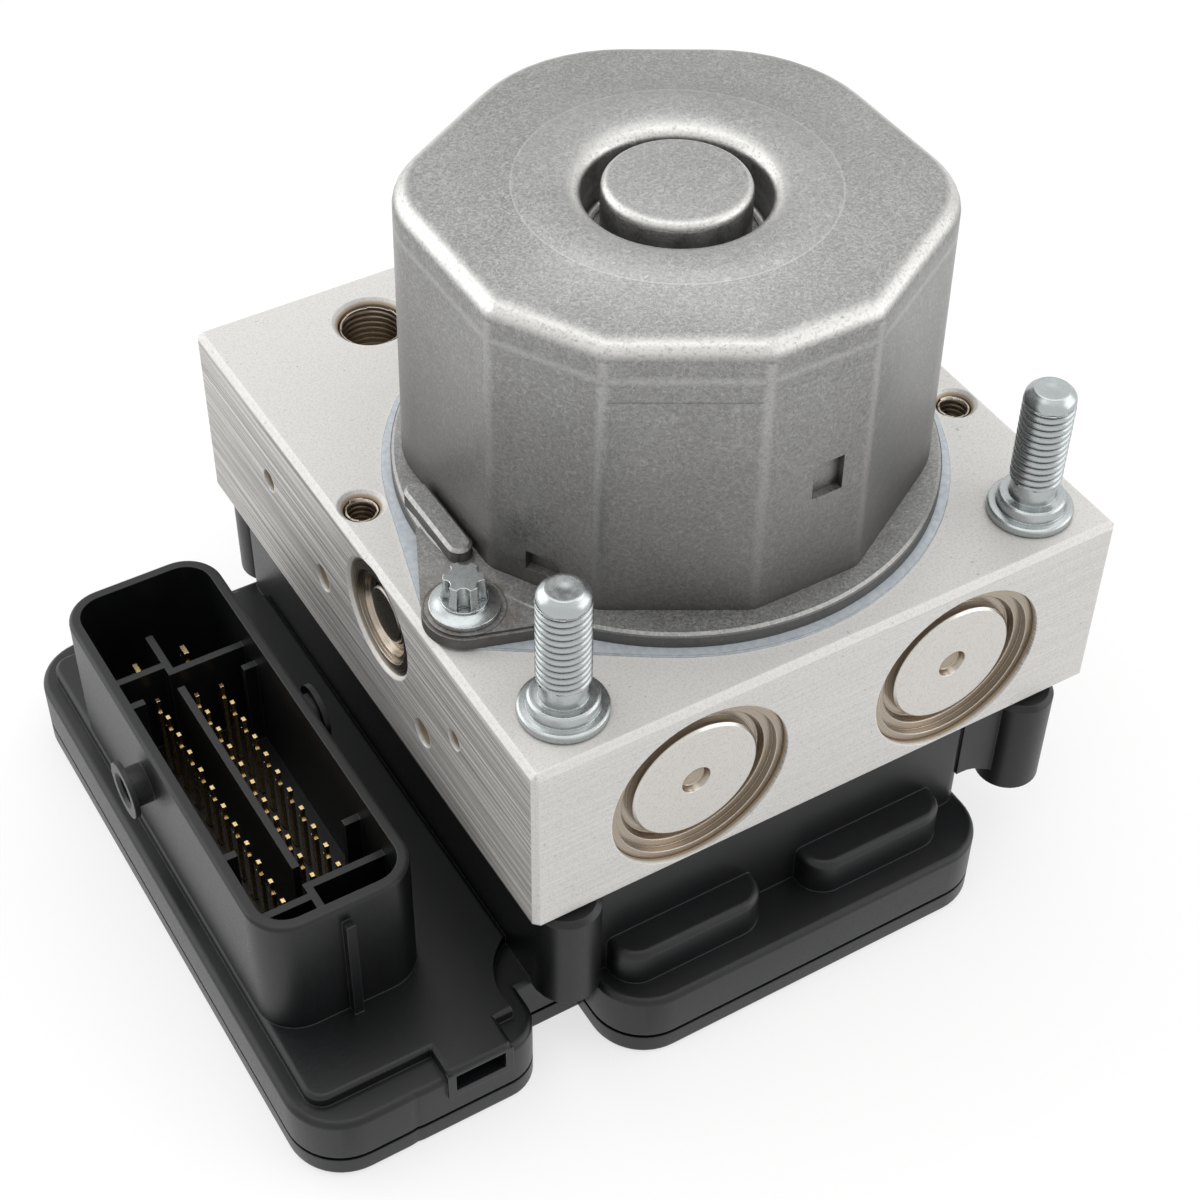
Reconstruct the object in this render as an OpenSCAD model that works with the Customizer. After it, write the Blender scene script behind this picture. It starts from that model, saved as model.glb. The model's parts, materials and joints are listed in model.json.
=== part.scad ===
// Anti-lock brake module: a drilled aluminium hydraulic block with a pump motor on top
// and an electronic control unit below. The origin is on the motor axis, at the
// underside of the control unit. +X points right and +Y back along the block.

/* [Levels] */
// Thickness of the lid that closes the control unit from below
lid_h = 3.9; // [3.4:0.1:4.6]
// Height of the shadow gap between the lid and the control housing
seam_h = 0.8; // [0.6:0.1:1.2]
// Height of the control housing's outer flange
flange_h = 8.3; // [8:0.1:10]
// Height of the raised deck round the connector
deck_h = 2.2; // [1.6:0.1:3]
// Height from the deck to the underside of the hydraulic block
body_h = 16.8; // [16.6:0.1:20]

/* [Hydraulic block] */
// Width of the block, left to right
block_w = 100; // [99:1:110]
// Depth of the block, front to back
block_d = 110; // [109:1:120]
// Height of the block
block_h = 33; // [32.8:0.2:36]
// Distance from the motor axis to the block's front face
block_front = 47; // [46.5:0.5:50]
// Bevel along the block's edges
block_bevel = 0.9; // [0.5:0.1:1.2]
// Distance of the two fixing studs inside the block's sides
stud_side = 9.8; // [9:0.1:10]
// Distance of the studs behind the front face
stud_inset = 9; // [8.8:0.1:10]
// Distance of the bracket holes inside the block's sides
bracket_side = 4.5; // [4.2:0.1:5]
// Distance of the bracket holes from the motor axis, front to back
bracket_y = 12.6; // [12.4:0.1:14]
// Radius of the bracket holes
bracket_r = 2.8; // [2.5:0.1:2.9]
// Depth of the bracket holes
bracket_depth = 9; // [7:0.5:10]

/* [Line ports] */
// Distance of the two master ports inside the block's sides
master_side = 25.8; // [25:0.1:26.5]
// Distance of the master ports in front of the back face
master_inset = 11.7; // [11:0.1:12.5]
// Bore radius of the master ports
master_r = 5.5; // [5.3:0.05:5.7]
// Depth of the master ports
master_depth = 13; // [11:0.5:13.5]
// Spacing of the four wheel ports along the back face
wheel_pitch = 24; // [23.5:0.1:24.5]
// Bore radius of the wheel ports
wheel_r = 4.5; // [4.2:0.05:4.6]
// Depth of the wheel ports
wheel_depth = 14; // [12:0.5:14.5]
// Height of the wheel ports above the block's underside
wheel_rise = 14; // [13.5:0.1:15]
// Width of the bevel at a port's mouth
port_bevel = 0.9; // [0.5:0.1:1]

/* [Motor housing] */
// Height of the motor's flat top above the block
motor_h = 49.5; // [49:0.5:56]
// Radius of the faceted housing's front edges at its foot
can_foot_r = 38.5; // [38.2:0.1:39]
// Radius of the faceted housing's front edges at its top
can_top_r = 37.9; // [37.7:0.1:38.2]
// Half of the angle that a flat beside a facet takes up, in degrees
wide_half = 16.7; // [16:0.1:18]
// Rounding between a flat and a facet
can_corner = 4; // [3.8:0.1:5]
// Radius of the housing's two side corners
side_arc = 16; // [14:0.5:18]
// Radius of the housing's two back corners
back_arc = 25; // [22:0.5:28]
// Rounding of the top edge
can_round = 3.4; // [2.5:0.1:3.6]
// Wall of the housing
can_wall = 2; // [1.8:0.05:2]
// Radius of the round foot flange
foot_r = 41.8; // [41:0.1:42.4]
// Thickness of the foot flange
foot_h = 2.5; // [2:0.1:3]
// Distance of the motor bolts inside the block's sides
bolt_side = 6.4; // [6:0.1:7]
// Distance of the motor bolts from the motor axis, front to back
bolt_y = 16.3; // [16:0.1:17]
// Radius of the bolt lug's end
lug_r = 6.2; // [5.8:0.1:6.4]
// Thickness of the motor gasket
gasket_h = 0.5; // [0.4:0.05:0.7]
// How far the motor gasket stands out beyond the foot flange
gasket_proud = 1.5; // [1:0.1:1.8]
// Width of the motor gasket under the foot flange
gasket_lap = 5; // [4:0.1:6]
// Radius of the well round the hub, at the top face
well_mouth_r = 17.7; // [17:0.1:18.5]
// Radius of the well below its rounded mouth
well_r = 13.3; // [13:0.1:14]
// Depth of the well
well_depth = 9; // [8:0.1:9.4]
// Radius of the hub button
hub_r = 10.7; // [10.4:0.1:11]
// Height of the hub button above the motor's flat top
hub_proud = 0.5; // [0:0.1:1.5]

/* [Motor works] */
// Radius of the rotor shaft
shaft_r = 3.95; // [3.8:0.05:4.1]
// Running clearance round a turning shaft
run_gap = 0.05; // [0.03:0.01:0.08]
// Outer radius of the lower bearing
low_bearing_r = 11; // [10.5:0.1:11.3]
// Height of the lower bearing
low_bearing_h = 7; // [6:0.1:7.2]
// Outer radius of the upper bearing
top_bearing_r = 7.9; // [7.5:0.05:8]
// Height of the upper bearing
top_bearing_h = 5; // [4:0.1:6]
// Length of the wound core
core_h = 18; // [14:0.5:19]
// Number of slots in the core
slot_count = 12; // [8:1:14]
// Air gap between the core and the magnets
air_gap = 0.7; // [0.5:0.05:1]
// Thickness of the magnets
magnet_t = 5.2; // [4:0.1:5.4]
// Radius of the commutator
commutator_r = 10; // [9:0.1:11]
// Height of the commutator
commutator_h = 8.5; // [7.5:0.1:9]
// Radius of the motor's power lead carrier
lead_r = 3.1; // [2.6:0.1:3.2]

/* [Pump] */
// Depth of the pump axis below the block's top
pump_drop = 10.6; // [10.5:0.1:11.5]
// How far the eccentric journal is off the motor axis
eccentric = 0.9; // [0.6:0.05:1]
// Radius of the eccentric journal
journal_r = 5.2; // [5.1:0.05:5.4]
// Outer radius of the needle ring on the journal
ring_r = 8; // [7.6:0.1:8.1]
// Radius of the pump pistons
pump_piston_r = 3.5; // [3:0.1:3.6]
// Length of the pump springs at rest
pump_spring_l = 6; // [5:0.5:8]
// Outer radius of the pump sleeves
sleeve_r = 6.55; // [6.2:0.05:6.7]
// Radius of the pump plugs
plug_r = 9.4; // [9:0.1:9.4]
// Depth of the recess that holds a pump plug
plug_depth = 12; // [10:0.5:12]

/* [Accumulators] */
// Distance of the accumulators inside the block's sides
acc_side = 27.3; // [27:0.1:27.5]
// Height of the accumulator axes above the block's underside
acc_rise = 15.8; // [15.7:0.1:16.4]
// Radius of the accumulator caps
cap_r = 14.8; // [14.4:0.1:14.8]
// Depth of the recess that holds a cap
cap_depth = 6; // [5.5:0.1:6]
// Radius of the raised disc in a cap
disc_r = 10.5; // [9.5:0.1:11]
// Bore radius of the accumulators
acc_r = 12.5; // [11.5:0.1:12.6]
// Depth of the accumulator bores from the front face
acc_depth = 29; // [28:0.5:32]
// Length of an accumulator piston
acc_piston_l = 7; // [6:0.5:8]
// Travel of an accumulator piston
acc_stroke = 6; // [4:0.5:6.5]

/* [Valves] */
// Spacing of the valves, left to right
valve_pitch = 17.5; // [16.5:0.1:17.6]
// Distance of the first valve inside the block's left side
valve_side = 14; // [14:0.1:15]
// Distance of the outlet valve row inside the block's back
outlet_inset = 23; // [22.5:0.1:24]
// Distance between the two valve rows
row_pitch = 20; // [19:0.1:20]
// Radius of a valve coil's steel case
coil_r = 7.6; // [7:0.1:7.8]
// Height of a valve coil
coil_h = 16; // [14:0.5:17]
// Outer radius of the tube that guides a valve's armature
dome_r = 3.2; // [3:0.05:3.25]
// Length of a valve armature
armature_l = 9; // [8:0.5:10]
// Stroke of a valve armature
valve_stroke = 0.3; // [0.2:0.05:0.35]

/* [Control housing] */
// How far the flange stands out beyond the block's left side
flange_reach = 39; // [38.5:0.5:42]
// How far the flange stands out beyond the body's right wall
flange_step = 0.5; // [0.5:0.1:2]
// How far the flange below the connector stands out beyond the block's front
deck_proud = 4.2; // [4:0.1:5]
// How far the flange below the block stands out beyond the block's front
flange_proud = 8.5; // [8:0.5:10]
// How far the flange below the connector stays inside the block's back
deck_inset = 4.5; // [3:0.5:5]
// Rounding of the flange's big corners
flange_round = 9; // [7:0.5:10]
// Rounding of the flange's top edge
flange_soft = 1.1; // [0.6:0.1:1.5]
// Outer wall of the flange
flange_wall = 2.6; // [2.4:0.1:3]
// Thickness of the ceiling over the circuit board
ceiling_t = 2; // [1.6:0.1:2.2]
// How far the body stays inside the block's left side
body_side = 2.1; // [1.8:0.1:2.3]
// Room between the last valve coil and the body's right wall
coil_room = 1.9; // [1.7:0.1:2.1]
// How far the body stays inside the block's front
body_inset = 1.5; // [1:0.1:1.8]
// How far the body stays inside the block's back
body_back_inset = 6; // [5.5:0.1:6.5]
// Thickness of the body's walls
body_wall = 3; // [2.8:0.1:3.2]
// Radius of the four screw towers
tower_r = 5.2; // [5:0.1:5.4]
// Distance of the towers' centres inside the block's front and back faces
tower_inset = 3.2; // [3:0.1:3.6]
// Height of the two pads on the front flange
pad_h = 6.7; // [5:0.1:8]
// Depth of the pads, front to back
pad_d = 5.5; // [5:0.1:6]

/* [Connector] */
// Distance from the flange's left edge to the shroud
shroud_margin = 3; // [2.8:0.1:3.2]
// Width of the shroud
shroud_w = 25.4; // [25.2:0.1:25.6]
// Front face of the shroud, from the motor axis
shroud_front = 34.2; // [34:0.1:34.5]
// Back face of the shroud, from the motor axis
shroud_back = 42.3; // [42.1:0.1:43]
// Height of the shroud above the deck
shroud_h = 23.5; // [22:0.5:26]
// Rounding of the shroud's corners
shroud_round = 6.4; // [5.5:0.1:7]
// Wall of the shroud
shroud_wall = 1.8; // [1.6:0.05:1.9]
// Height of the dividers inside the shroud, above the deck
divider_h = 17.8; // [16:0.1:18.5]
// Thickness of the dividers
divider_t = 1.2; // [1:0.1:1.4]
// Height of the pivot bosses on the shroud, above the deck
pivot_rise = 13.8; // [12:0.1:16]
// Spacing of the signal pins along a row
pin_pitch = 4.16; // [4.1:0.01:4.2]
// Height of the pin tips above the deck
pin_h = 13.8; // [12:0.1:16]
// Width of a signal pin's blade
pin_w = 1.4; // [1.2:0.05:1.5]
// Thickness of the pins
pin_t = 0.64; // [0.5:0.02:0.8]
// Width of a power pin's blade
power_w = 3.1; // [2.8:0.1:3.3]

/* [Hidden] */
$fn = 64;

// Levels above the base plane
z_flange_low = lid_h + seam_h;
z_flange = z_flange_low + flange_h;
z_deck = z_flange + deck_h;
z_block = z_deck + body_h;
z_top = z_block + block_h;
z_can = z_top + motor_h;
z_foot = z_top + gasket_h;
z_chamber = z_flange - ceiling_t;
z_pump = z_top - pump_drop;
z_acc = z_block + acc_rise;

// Plan positions
block_side = block_w / 2;
block_back = block_d - block_front;
stud_x = block_side - stud_side;
stud_y = stud_inset - block_front;
master_x = block_side - master_side;
master_y = block_back - master_inset;
bracket_x = block_side - bracket_side;
bolt_x = block_side - bolt_side;
acc_x = block_side - acc_side;
cut = 1;
seat_gap = 0.02;

// Plan positions of the valves, and of the motor's lead between them
outlet_y = block_back - outlet_inset;
inlet_y = outlet_y - row_pitch;
valve_columns = [for (i = [0:3]) valve_side - block_side + i * valve_pitch];
lead_pos = [valve_columns[1] + valve_pitch / 2, inlet_y + row_pitch / 2];

// Outline of the control unit: [left, right, front, back, corner radius] of each part
flange_left = block_side + flange_reach;
flange_front = block_front + flange_proud;
flange_rear = block_back + 3;
deck_front = block_front + deck_proud;
deck_back = block_back - deck_inset;
body_left = block_side - body_side;
body_right = valve_columns[3] + coil_r + coil_room + body_wall;
flange_right = body_right + flange_step;
body_front = block_front - body_inset;
body_back = block_back - body_back_inset;
shroud_left = flange_left - shroud_margin;
notch_left = block_side + 0.5;
notch_right = notch_left - 10.7;
notch_front = body_front - 3.5;
notch_back = body_back - 0.2;
notch_round = 6;
overlap = 12;
footprint = [
    [-flange_left, 2 * overlap - flange_left, -deck_front, deck_back, flange_round],
    [-flange_left + overlap, -notch_left, -deck_front, deck_back, notch_round],
    [-notch_left - overlap, overlap - notch_right, -notch_front, notch_back, 1],
    [-notch_right, flange_right, -flange_front, flange_rear, flange_round]];

// Gap between the housing's rim and the block, bridged by the seal
rim_gap = 0.3;

// Circuit board
board_t = 1.6;
board_gap = 1.4;
z_board = z_chamber - board_gap;
board_margin = flange_wall + 0.8;

// Screw towers: [x, y], with the front pair first
tower_y = [-block_front + tower_inset, block_back - tower_inset];
tower_left = 7.1;
tower_right = 9.8;
tower_x = [tower_left - block_side, block_side - tower_right];
tower_drop = 19;
screw_r = 2;
screw_head_r = 3.6;
screw_head_h = 4;
screw_grip = 5;
screw_bite = 8;

// Motor works: the magnets lie inside the housing's sides, the core inside the magnets
magnet_gap = 0.6;
magnet_r = min(can_top_r, can_foot_r) * cos(wide_half) - can_wall - magnet_gap - magnet_t;
core_r = magnet_r - air_gap;
plate_gap = 1.5;
plate_r = min(can_top_r, can_foot_r) * cos(wide_half) - can_wall - plate_gap;

// Motor works, stacked upwards from the block
z_plate = z_foot + 0.5;
plate_t = 2.5;
z_commutator = z_plate + plate_t + 1;
end_turn = 3.5;
z_core = z_commutator + commutator_h + end_turn + 0.5;
z_well = z_can - well_depth;
well_wall = 1.8;
hub_bore_r = top_bearing_r + seat_gap;
bearing_proud = 0.2;
z_low_bearing = z_top - low_bearing_h + bearing_proud;
z_top_bearing = z_well - well_wall + 0.6;
journal_h = 8.5;
z_journal = z_low_bearing - journal_h - 0.6;
cavity_r = 10;
z_cavity = z_journal - 2.5;

// Pump element, measured outwards along its own axis, with its piston at the outer end
piston_gap = 0.3;
pump_stroke = 2 * eccentric;
piston_tip = ring_r + eccentric + pump_stroke + piston_gap;
sleeve_start = 14.5;
plug_start = block_side - plug_depth;
sleeve_end_t = 2;
pump_piston_end = plug_start - sleeve_end_t - pump_spring_l;
pump_piston_l = pump_piston_end - piston_tip;

// Accumulator, measured forwards along its own axis
cap_seat = block_front - cap_depth;
acc_end = block_front - acc_depth;
acc_floor_t = 3;
acc_piston_floor = acc_end + 1 + acc_floor_t;
// Nose on the cap that stops the piston at the end of its travel
nose_gap = 0.3;
nose_r = 5;
nose_l = cap_seat - acc_piston_floor - acc_stroke - nose_gap;

// Valves
valve_step = [[5.35, 4], [4.25, 8], [3.15, 3]];
dome_wall = 0.4;
dome_rise = 2.5;
dome_low = z_flange + dome_rise;
armature_gap = 0.08;
armature_r = dome_r - dome_wall - armature_gap;
z_armature = dome_low + dome_wall + 0.1;
pole_gap = 0.4;
z_core_pole = z_armature + armature_l + valve_stroke + pole_gap;
spring_gap = valve_stroke + 0.05;

// Connector insides
shroud_right = shroud_left - shroud_w;
z_floor = z_deck + 0.8;
// Pin rows: [distance from the shroud's left face, last pin, number of pins]
pin_rows = [for (row = [[8.2, 24.2, 12], [14, 22.2, 11], [18.2, 22.1, 11]])
    [row[0] - shroud_left, row[1], row[2]]];
power_y = 32.3;
power_pos = [for (x = [8.1, 16.3]) [x - shroud_left, power_y]];
power_t = 0.8;
pin_slack = 0.05;

// Rectangle with round corners, drawn from its edges
module plate(x0, x1, y0, y1, r) {
    translate([x0 + r, y0]) square([x1 - x0 - 2 * r, y1 - y0]);
    translate([x0, y0 + r]) square([x1 - x0, y1 - y0 - 2 * r]);
    for (x = [x0 + r, x1 - r], y = [y0 + r, y1 - r]) translate([x, y]) circle(r);
}

// Cross-section whose two top corners are rounded
module soft_section(a0, a1, h, soft) {
    translate([a0, 0]) square([a1 - a0, h - soft]);
    translate([a0 + soft, 0]) square([a1 - a0 - 2 * soft, h]);
    for (a = [a0 + soft, a1 - soft]) translate([a, h - soft]) circle(soft);
}

// Plate with round corners and a rounded top edge
module soft_plate(x0, x1, y0, y1, r, h, soft) {
    translate([x0 + r, 0, 0]) rotate([90, 0, 90])
        linear_extrude(x1 - x0 - 2 * r) soft_section(y0, y1, h, soft);
    translate([0, y1 - r, 0]) rotate([90, 0, 0])
        linear_extrude(y1 - y0 - 2 * r) soft_section(x0, x1, h, soft);
    for (x = [x0 + r, x1 - r], y = [y0 + r, y1 - r]) translate([x, y, 0]) rotate_extrude()
        intersection() {
            soft_section(-r, r, h, soft);
            square([r, h]);
        }
}

// Outline of the control unit, shrunk by an inset
module outline(inset) {
    for (p = footprint)
        plate(p[0] + inset, p[1] - inset, p[2] + inset, p[3] - inset, max(p[4] - inset, 0.4));
}

// Solid outline of the control unit with a rounded top edge
module soft_outline(h, soft) {
    for (p = footprint) soft_plate(p[0], p[1], p[2], p[3], max(p[4], soft + 0.3), h, soft);
}

// Axis that leaves the block to one side, at the pump's height
module pump_axis(side) {
    translate([0, 0, z_pump]) rotate([0, 90 * side, 0]) children();
}

// Axis that leaves the block to the front, at the accumulators' height
module acc_axis(side) {
    translate([side * acc_x, 0, z_acc]) rotate([90, 0, 0]) children();
}

// Coil spring along +Z, with a round wire
module coil_spring(r, wire_r, h, turns, steps, sides) {
    count = turns * steps;
    rings = [for (i = [0:count], j = [0:sides - 1])
        let (a = 360 * i / steps, b = 360 * j / sides)
        [(r + wire_r * cos(b)) * cos(a), (r + wire_r * cos(b)) * sin(a),
            wire_r + (h - 2 * wire_r) * i / count + wire_r * sin(b)]];
    walls = [for (i = [0:count - 1], j = [0:sides - 1])
        let (k = (j + 1) % sides)
        [i * sides + j, i * sides + k, (i + 1) * sides + k, (i + 1) * sides + j]];
    first = [for (j = [sides - 1:-1:0]) j];
    last = [for (j = [0:sides - 1]) count * sides + j];
    polyhedron(rings, concat(walls, [first, last]), convexity = 6);
}

// Holes of one valve in the block, from below
module valve_bore() {
    levels = [for (i = [0:2]) valve_step[i][1]];
    translate([0, 0, -cut]) cylinder(r = valve_step[0][0] + seat_gap, h = levels[0] + cut);
    translate([0, 0, levels[0] - cut])
        cylinder(r = valve_step[1][0] + seat_gap, h = levels[1] + cut);
    translate([0, 0, levels[0] + levels[1] - cut])
        cylinder(r = valve_step[2][0] + seat_gap, h = levels[2] + cut);
}

// Block blank with beveled edges, standing on z = 0
module block_blank() {
    b = block_bevel;
    translate([-block_side, -block_front, 0]) hull() {
        translate([b, b, 0]) cube([block_w - 2 * b, block_d - 2 * b, block_h]);
        translate([b, 0, b]) cube([block_w - 2 * b, block_d, block_h - 2 * b]);
        translate([0, b, b]) cube([block_w, block_d - 2 * b, block_h - 2 * b]);
    }
}

// Drilled port with a beveled mouth, pointing out along +Z
module port(r, depth) {
    translate([0, 0, -depth]) cylinder(r = r, h = depth + cut);
    translate([0, 0, -port_bevel]) cylinder(r1 = r, r2 = r + port_bevel, h = port_bevel);
    translate([0, 0, 0]) cylinder(r = r + port_bevel, h = cut);
    translate([0, 0, -depth - r / 2]) cylinder(r1 = r / 3, r2 = r, h = r / 2);
}

// Cross-drillings in the side faces, closed by balls: [distance back, height, radius]
channels = [[37.5, 20.5, 1.9], [19.1, 14.6, 2.3], [-13.5, 10.1, 2.4], [-23.8, 18.6, 1.75]];
channel_depth = 9;
ball_depth = 3.2;

module valve_block() {
    color("gainsboro") difference() {
        translate([0, 0, z_block]) block_blank();
        // Seat of the lower bearing and room for the eccentric
        translate([0, 0, z_low_bearing - 0.6])
            cylinder(r = low_bearing_r + seat_gap, h = low_bearing_h + 2);
        translate([0, 0, z_cavity]) cylinder(r = cavity_r, h = z_low_bearing - z_cavity);
        // Pump bores with the recess of their plugs
        for (side = [-1, 1]) pump_axis(side) {
            cylinder(r = sleeve_r + run_gap, h = plug_start + cut);
            translate([0, 0, plug_start]) cylinder(r = plug_r + run_gap, h = plug_depth + cut);
            translate([0, 0, block_side - 0.5])
                cylinder(r1 = plug_r + run_gap, r2 = plug_r + 0.5, h = 0.5);
        }
        // Accumulator bores with the recess of their caps
        for (side = [-1, 1]) acc_axis(side) {
            translate([0, 0, acc_end]) cylinder(r = acc_r, h = acc_depth);
            translate([0, 0, cap_seat]) cylinder(r = cap_r + run_gap, h = cap_depth + cut);
        }
        for (x = valve_columns, y = [inlet_y, outlet_y])
            translate([x, y, z_block]) valve_bore();
        for (side = [-1, 1]) {
            translate([side * master_x, master_y, z_top]) port(master_r, master_depth);
            translate([side * stud_x, stud_y, z_top - stud_root])
                cylinder(r = stud_root_r + run_gap, h = stud_root + cut);
            translate([side * bolt_x, side * bolt_y, z_top - bolt_root])
                cylinder(r = bolt_r + run_gap, h = bolt_root + cut);
            translate([side * bracket_x, -side * bracket_y, z_top])
                port(bracket_r, bracket_depth);
        }
        for (i = [-1.5:1.5])
            translate([i * wheel_pitch, block_back, z_block + wheel_rise])
                rotate([-90, 0, 0]) port(wheel_r, wheel_depth);
        for (side = [-1, 1], c = channels)
            translate([side * block_side, c[0], z_block + c[1]]) rotate([0, 90 * side, 0])
                translate([0, 0, -channel_depth]) cylinder(r = c[2], h = channel_depth + cut);
        for (x = tower_x, y = tower_y) translate([x, y, z_block - cut])
            cylinder(r = screw_r + run_gap, h = screw_bite + 1 + cut);
        translate([lead_pos[0], lead_pos[1], z_block - cut])
            cylinder(r = lead_r + 0.3, h = block_h + 2 * cut);
    }
}

module channel_balls() {
    color("silver") for (side = [-1, 1], c = channels)
        translate([side * (block_w / 2 - ball_depth), c[0], z_block + c[1]])
            sphere(r = c[2] - seat_gap);
}

// The housing has six wide flats, and these arcs between them, where 0 stands for a facet
arc_radii = [back_arc, back_arc, side_arc, 0, 0, side_arc];

function dir(a) = [cos(a), sin(a)];

// Corner between two flats that carries a narrow facet: two small arcs
function facet_corner(r, a, inset) = [for (k = [0, 1])
    let (v = r * (k == 0 ? dir(a + wide_half) : dir(a + 60 - wide_half)),
        centre = v - can_corner / cos(15) * dir(a + 15 + 30 * k))
    for (b = [0:7.5:30]) centre + (can_corner - inset) * dir(a + 30 * k + b)];

// Corner between two flats that is one wide arc
function arc_corner(r, a, inset, arc_r) =
    let (centre = (r * cos(wide_half) - arc_r) / cos(30) * dir(a + 30))
    [for (b = [0:7.5:60]) centre + (arc_r - inset) * dir(a + b)];

// One level of the housing, drawn in by an inset
function can_ring(r, inset, z) = [for (k = [0:5])
    let (a = 60 * k, arc_r = arc_radii[k])
    for (p = arc_r > 0 ? arc_corner(r, a, inset, arc_r) : facet_corner(r, a, inset)) [p[0], p[1], z]];

// The housing's form between two heights, with a rounded top edge
module can_form(z0, z1, inset, soft) {
    levels = concat([can_ring(can_foot_r, inset, z0)], [for (a = [0:10:90])
        can_ring(can_top_r, inset + soft * (1 - cos(a)), z1 - soft * (1 - sin(a)))]);
    size = len(levels[0]);
    top = len(levels) - 1;
    walls = [for (i = [0:top - 1], j = [0:size - 1])
        let (k = (j + 1) % size) [i * size + j, (i + 1) * size + j, (i + 1) * size + k, i * size + k]];
    floor_face = [for (j = [0:size - 1]) j];
    roof_face = [for (j = [size - 1:-1:0]) top * size + j];
    points = [for (level = levels) each level];
    polyhedron(points, concat(walls, [floor_face, roof_face]), convexity = 4);
}

// Bolt lug of the motor's foot, grown by a margin
lug_blend_r = 20;
lug_blend_at = foot_r - lug_blend_r + 3.9;
lug_blend_angle = 18.1;

module lugs(margin) {
    for (side = [-1, 1]) hull() {
        translate([side * bolt_x, side * bolt_y]) circle(lug_r + margin);
        rotate(lug_blend_angle) translate([side * lug_blend_at, 0]) circle(lug_blend_r + margin);
    }
}

// Half-section of the well and hub in the motor's top, as [radius, height]
roll_h = 2.5;
halo_r = 22.8;
halo_h = 0.15;
z_halo = z_can + halo_h;
hub_round = 1.5;
hub_top = z_can + hub_proud;
well_round = 0.8;
well_ring = 0.3;
well_points = concat(
    [[halo_r, z_can - can_wall], [halo_r, z_can], [halo_r - 0.3, z_halo]],
    [for (a = [90:10:180])
        [well_mouth_r + (well_mouth_r - well_r) * cos(a), z_halo - roll_h + roll_h * sin(a)]],
    [for (a = [0:15:90])
        [well_r - well_round + well_round * cos(a), z_well + well_round - well_round * sin(a)]],
    [[hub_r + 1.5, z_well], [hub_r + 1.5, z_well - well_ring], [hub_r, z_well - well_ring]],
    [for (a = [0:15:90])
        [hub_r - hub_round + hub_round * cos(a), hub_top - hub_round + hub_round * sin(a)]],
    [[0, hub_top], [0, hub_top - can_wall], [hub_bore_r, hub_top - can_wall],
        [hub_bore_r, z_well - well_wall], [well_r + well_wall, z_well - well_wall],
        [well_r + well_wall, z_can - roll_h - can_wall], [well_mouth_r, z_can - can_wall]]);

// Lanced pockets in the sides: [side angle, height, width, height of opening, shift, corner]
pockets = [[-150, 70.6, 5.5, 3.4, 0, 1], [-90, 85, 5, 6, 2, -1]];
pocket_depth = 1.5;
pocket_round = 1.4;

// Pocket cutter, whose top corner on one side is rounded
module pocket(w, h, corner) {
    rotate([90, 0, 90]) linear_extrude(5) union() {
        translate([-w / 2, 0]) square([w, h - pocket_round]);
        translate([corner * pocket_round / -2 - (w - pocket_round) / 2, 0])
            square([w - pocket_round, h]);
        translate([corner * (w / 2 - pocket_round), h - pocket_round]) circle(pocket_round);
    }
}

// Raised bar on the foot flange, beside the bolt lug
bar_r = 1.9;
bar_x = foot_r - 2.6;
bar_y = [-6.6, 6.4];
bar_h = 2.3;
bar_bevel = 0.5;

module motor_can() {
    color("darkgray") {
        difference() {
            union() {
                can_form(z_foot, z_can, 0, can_round);
                translate([0, 0, z_foot]) linear_extrude(foot_h - 0.6) {
                    circle(foot_r);
                    lugs(0);
                }
                translate([0, 0, z_foot + foot_h - 0.6])
                    cylinder(r1 = foot_r, r2 = foot_r - 0.6, h = 0.6);
                translate([0, 0, z_foot + foot_h - 0.61]) linear_extrude(0.4) lugs(-0.5);
                for (side = [-1, 1]) hull() for (y = bar_y)
                    translate([side * bar_x, side * -y, z_foot + foot_h - 1]) {
                        cylinder(r = bar_r, h = bar_h + 1 - bar_bevel, $fn = 24);
                        cylinder(r = bar_r - bar_bevel, h = bar_h + 1, $fn = 24);
                    }
            }
            can_form(z_foot - cut, z_can - can_wall, can_wall, can_round - can_wall);
            translate([0, 0, z_can - 2 * can_wall])
                cylinder(r = well_mouth_r - 0.01, h = 2 * can_wall + cut);
            for (side = [-1, 1]) translate([side * bolt_x, side * bolt_y, z_top])
                cylinder(r = bolt_r + 0.3, h = z_foot + foot_h + cut - z_top);
            for (p = pockets) rotate([0, 0, p[0]])
                translate([can_foot_r * cos(30 - wide_half) - pocket_depth, p[4], p[1]])
                    pocket(p[2], p[3], p[5]);
        }
        rotate_extrude() polygon(well_points);
    }
}

// Gasket: straight from its round part to each lug, under whose tip it ends
gasket_lug_inset = 0.6;

module motor_gasket() {
    color("slategray") translate([0, 0, z_top]) difference() {
        linear_extrude(gasket_h) difference() {
            for (side = [-1, 1]) hull() {
                circle(foot_r + gasket_proud);
                translate([side * bolt_x, side * bolt_y]) circle(lug_r - gasket_lug_inset);
            }
            circle(foot_r - gasket_lap);
        }
        for (side = [-1, 1]) translate([side * bolt_x, side * bolt_y, -cut])
            cylinder(r = bolt_r + 0.3, h = gasket_h + 2 * cut);
    }
}

// Motor bolt: six-lobed head over a round collar
bolt_r = 3;
bolt_root = 11;
bolt_collar_r = 5.1;
bolt_band_h = 0.9;
bolt_dome_h = 0.7;
bolt_ring_r = 3.45;
bolt_ring_h = 0.5;
bolt_head_r = 3.2;
bolt_top_r = 2.95;
bolt_head_h = 3.8;
lobe_r = 1.05;

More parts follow.
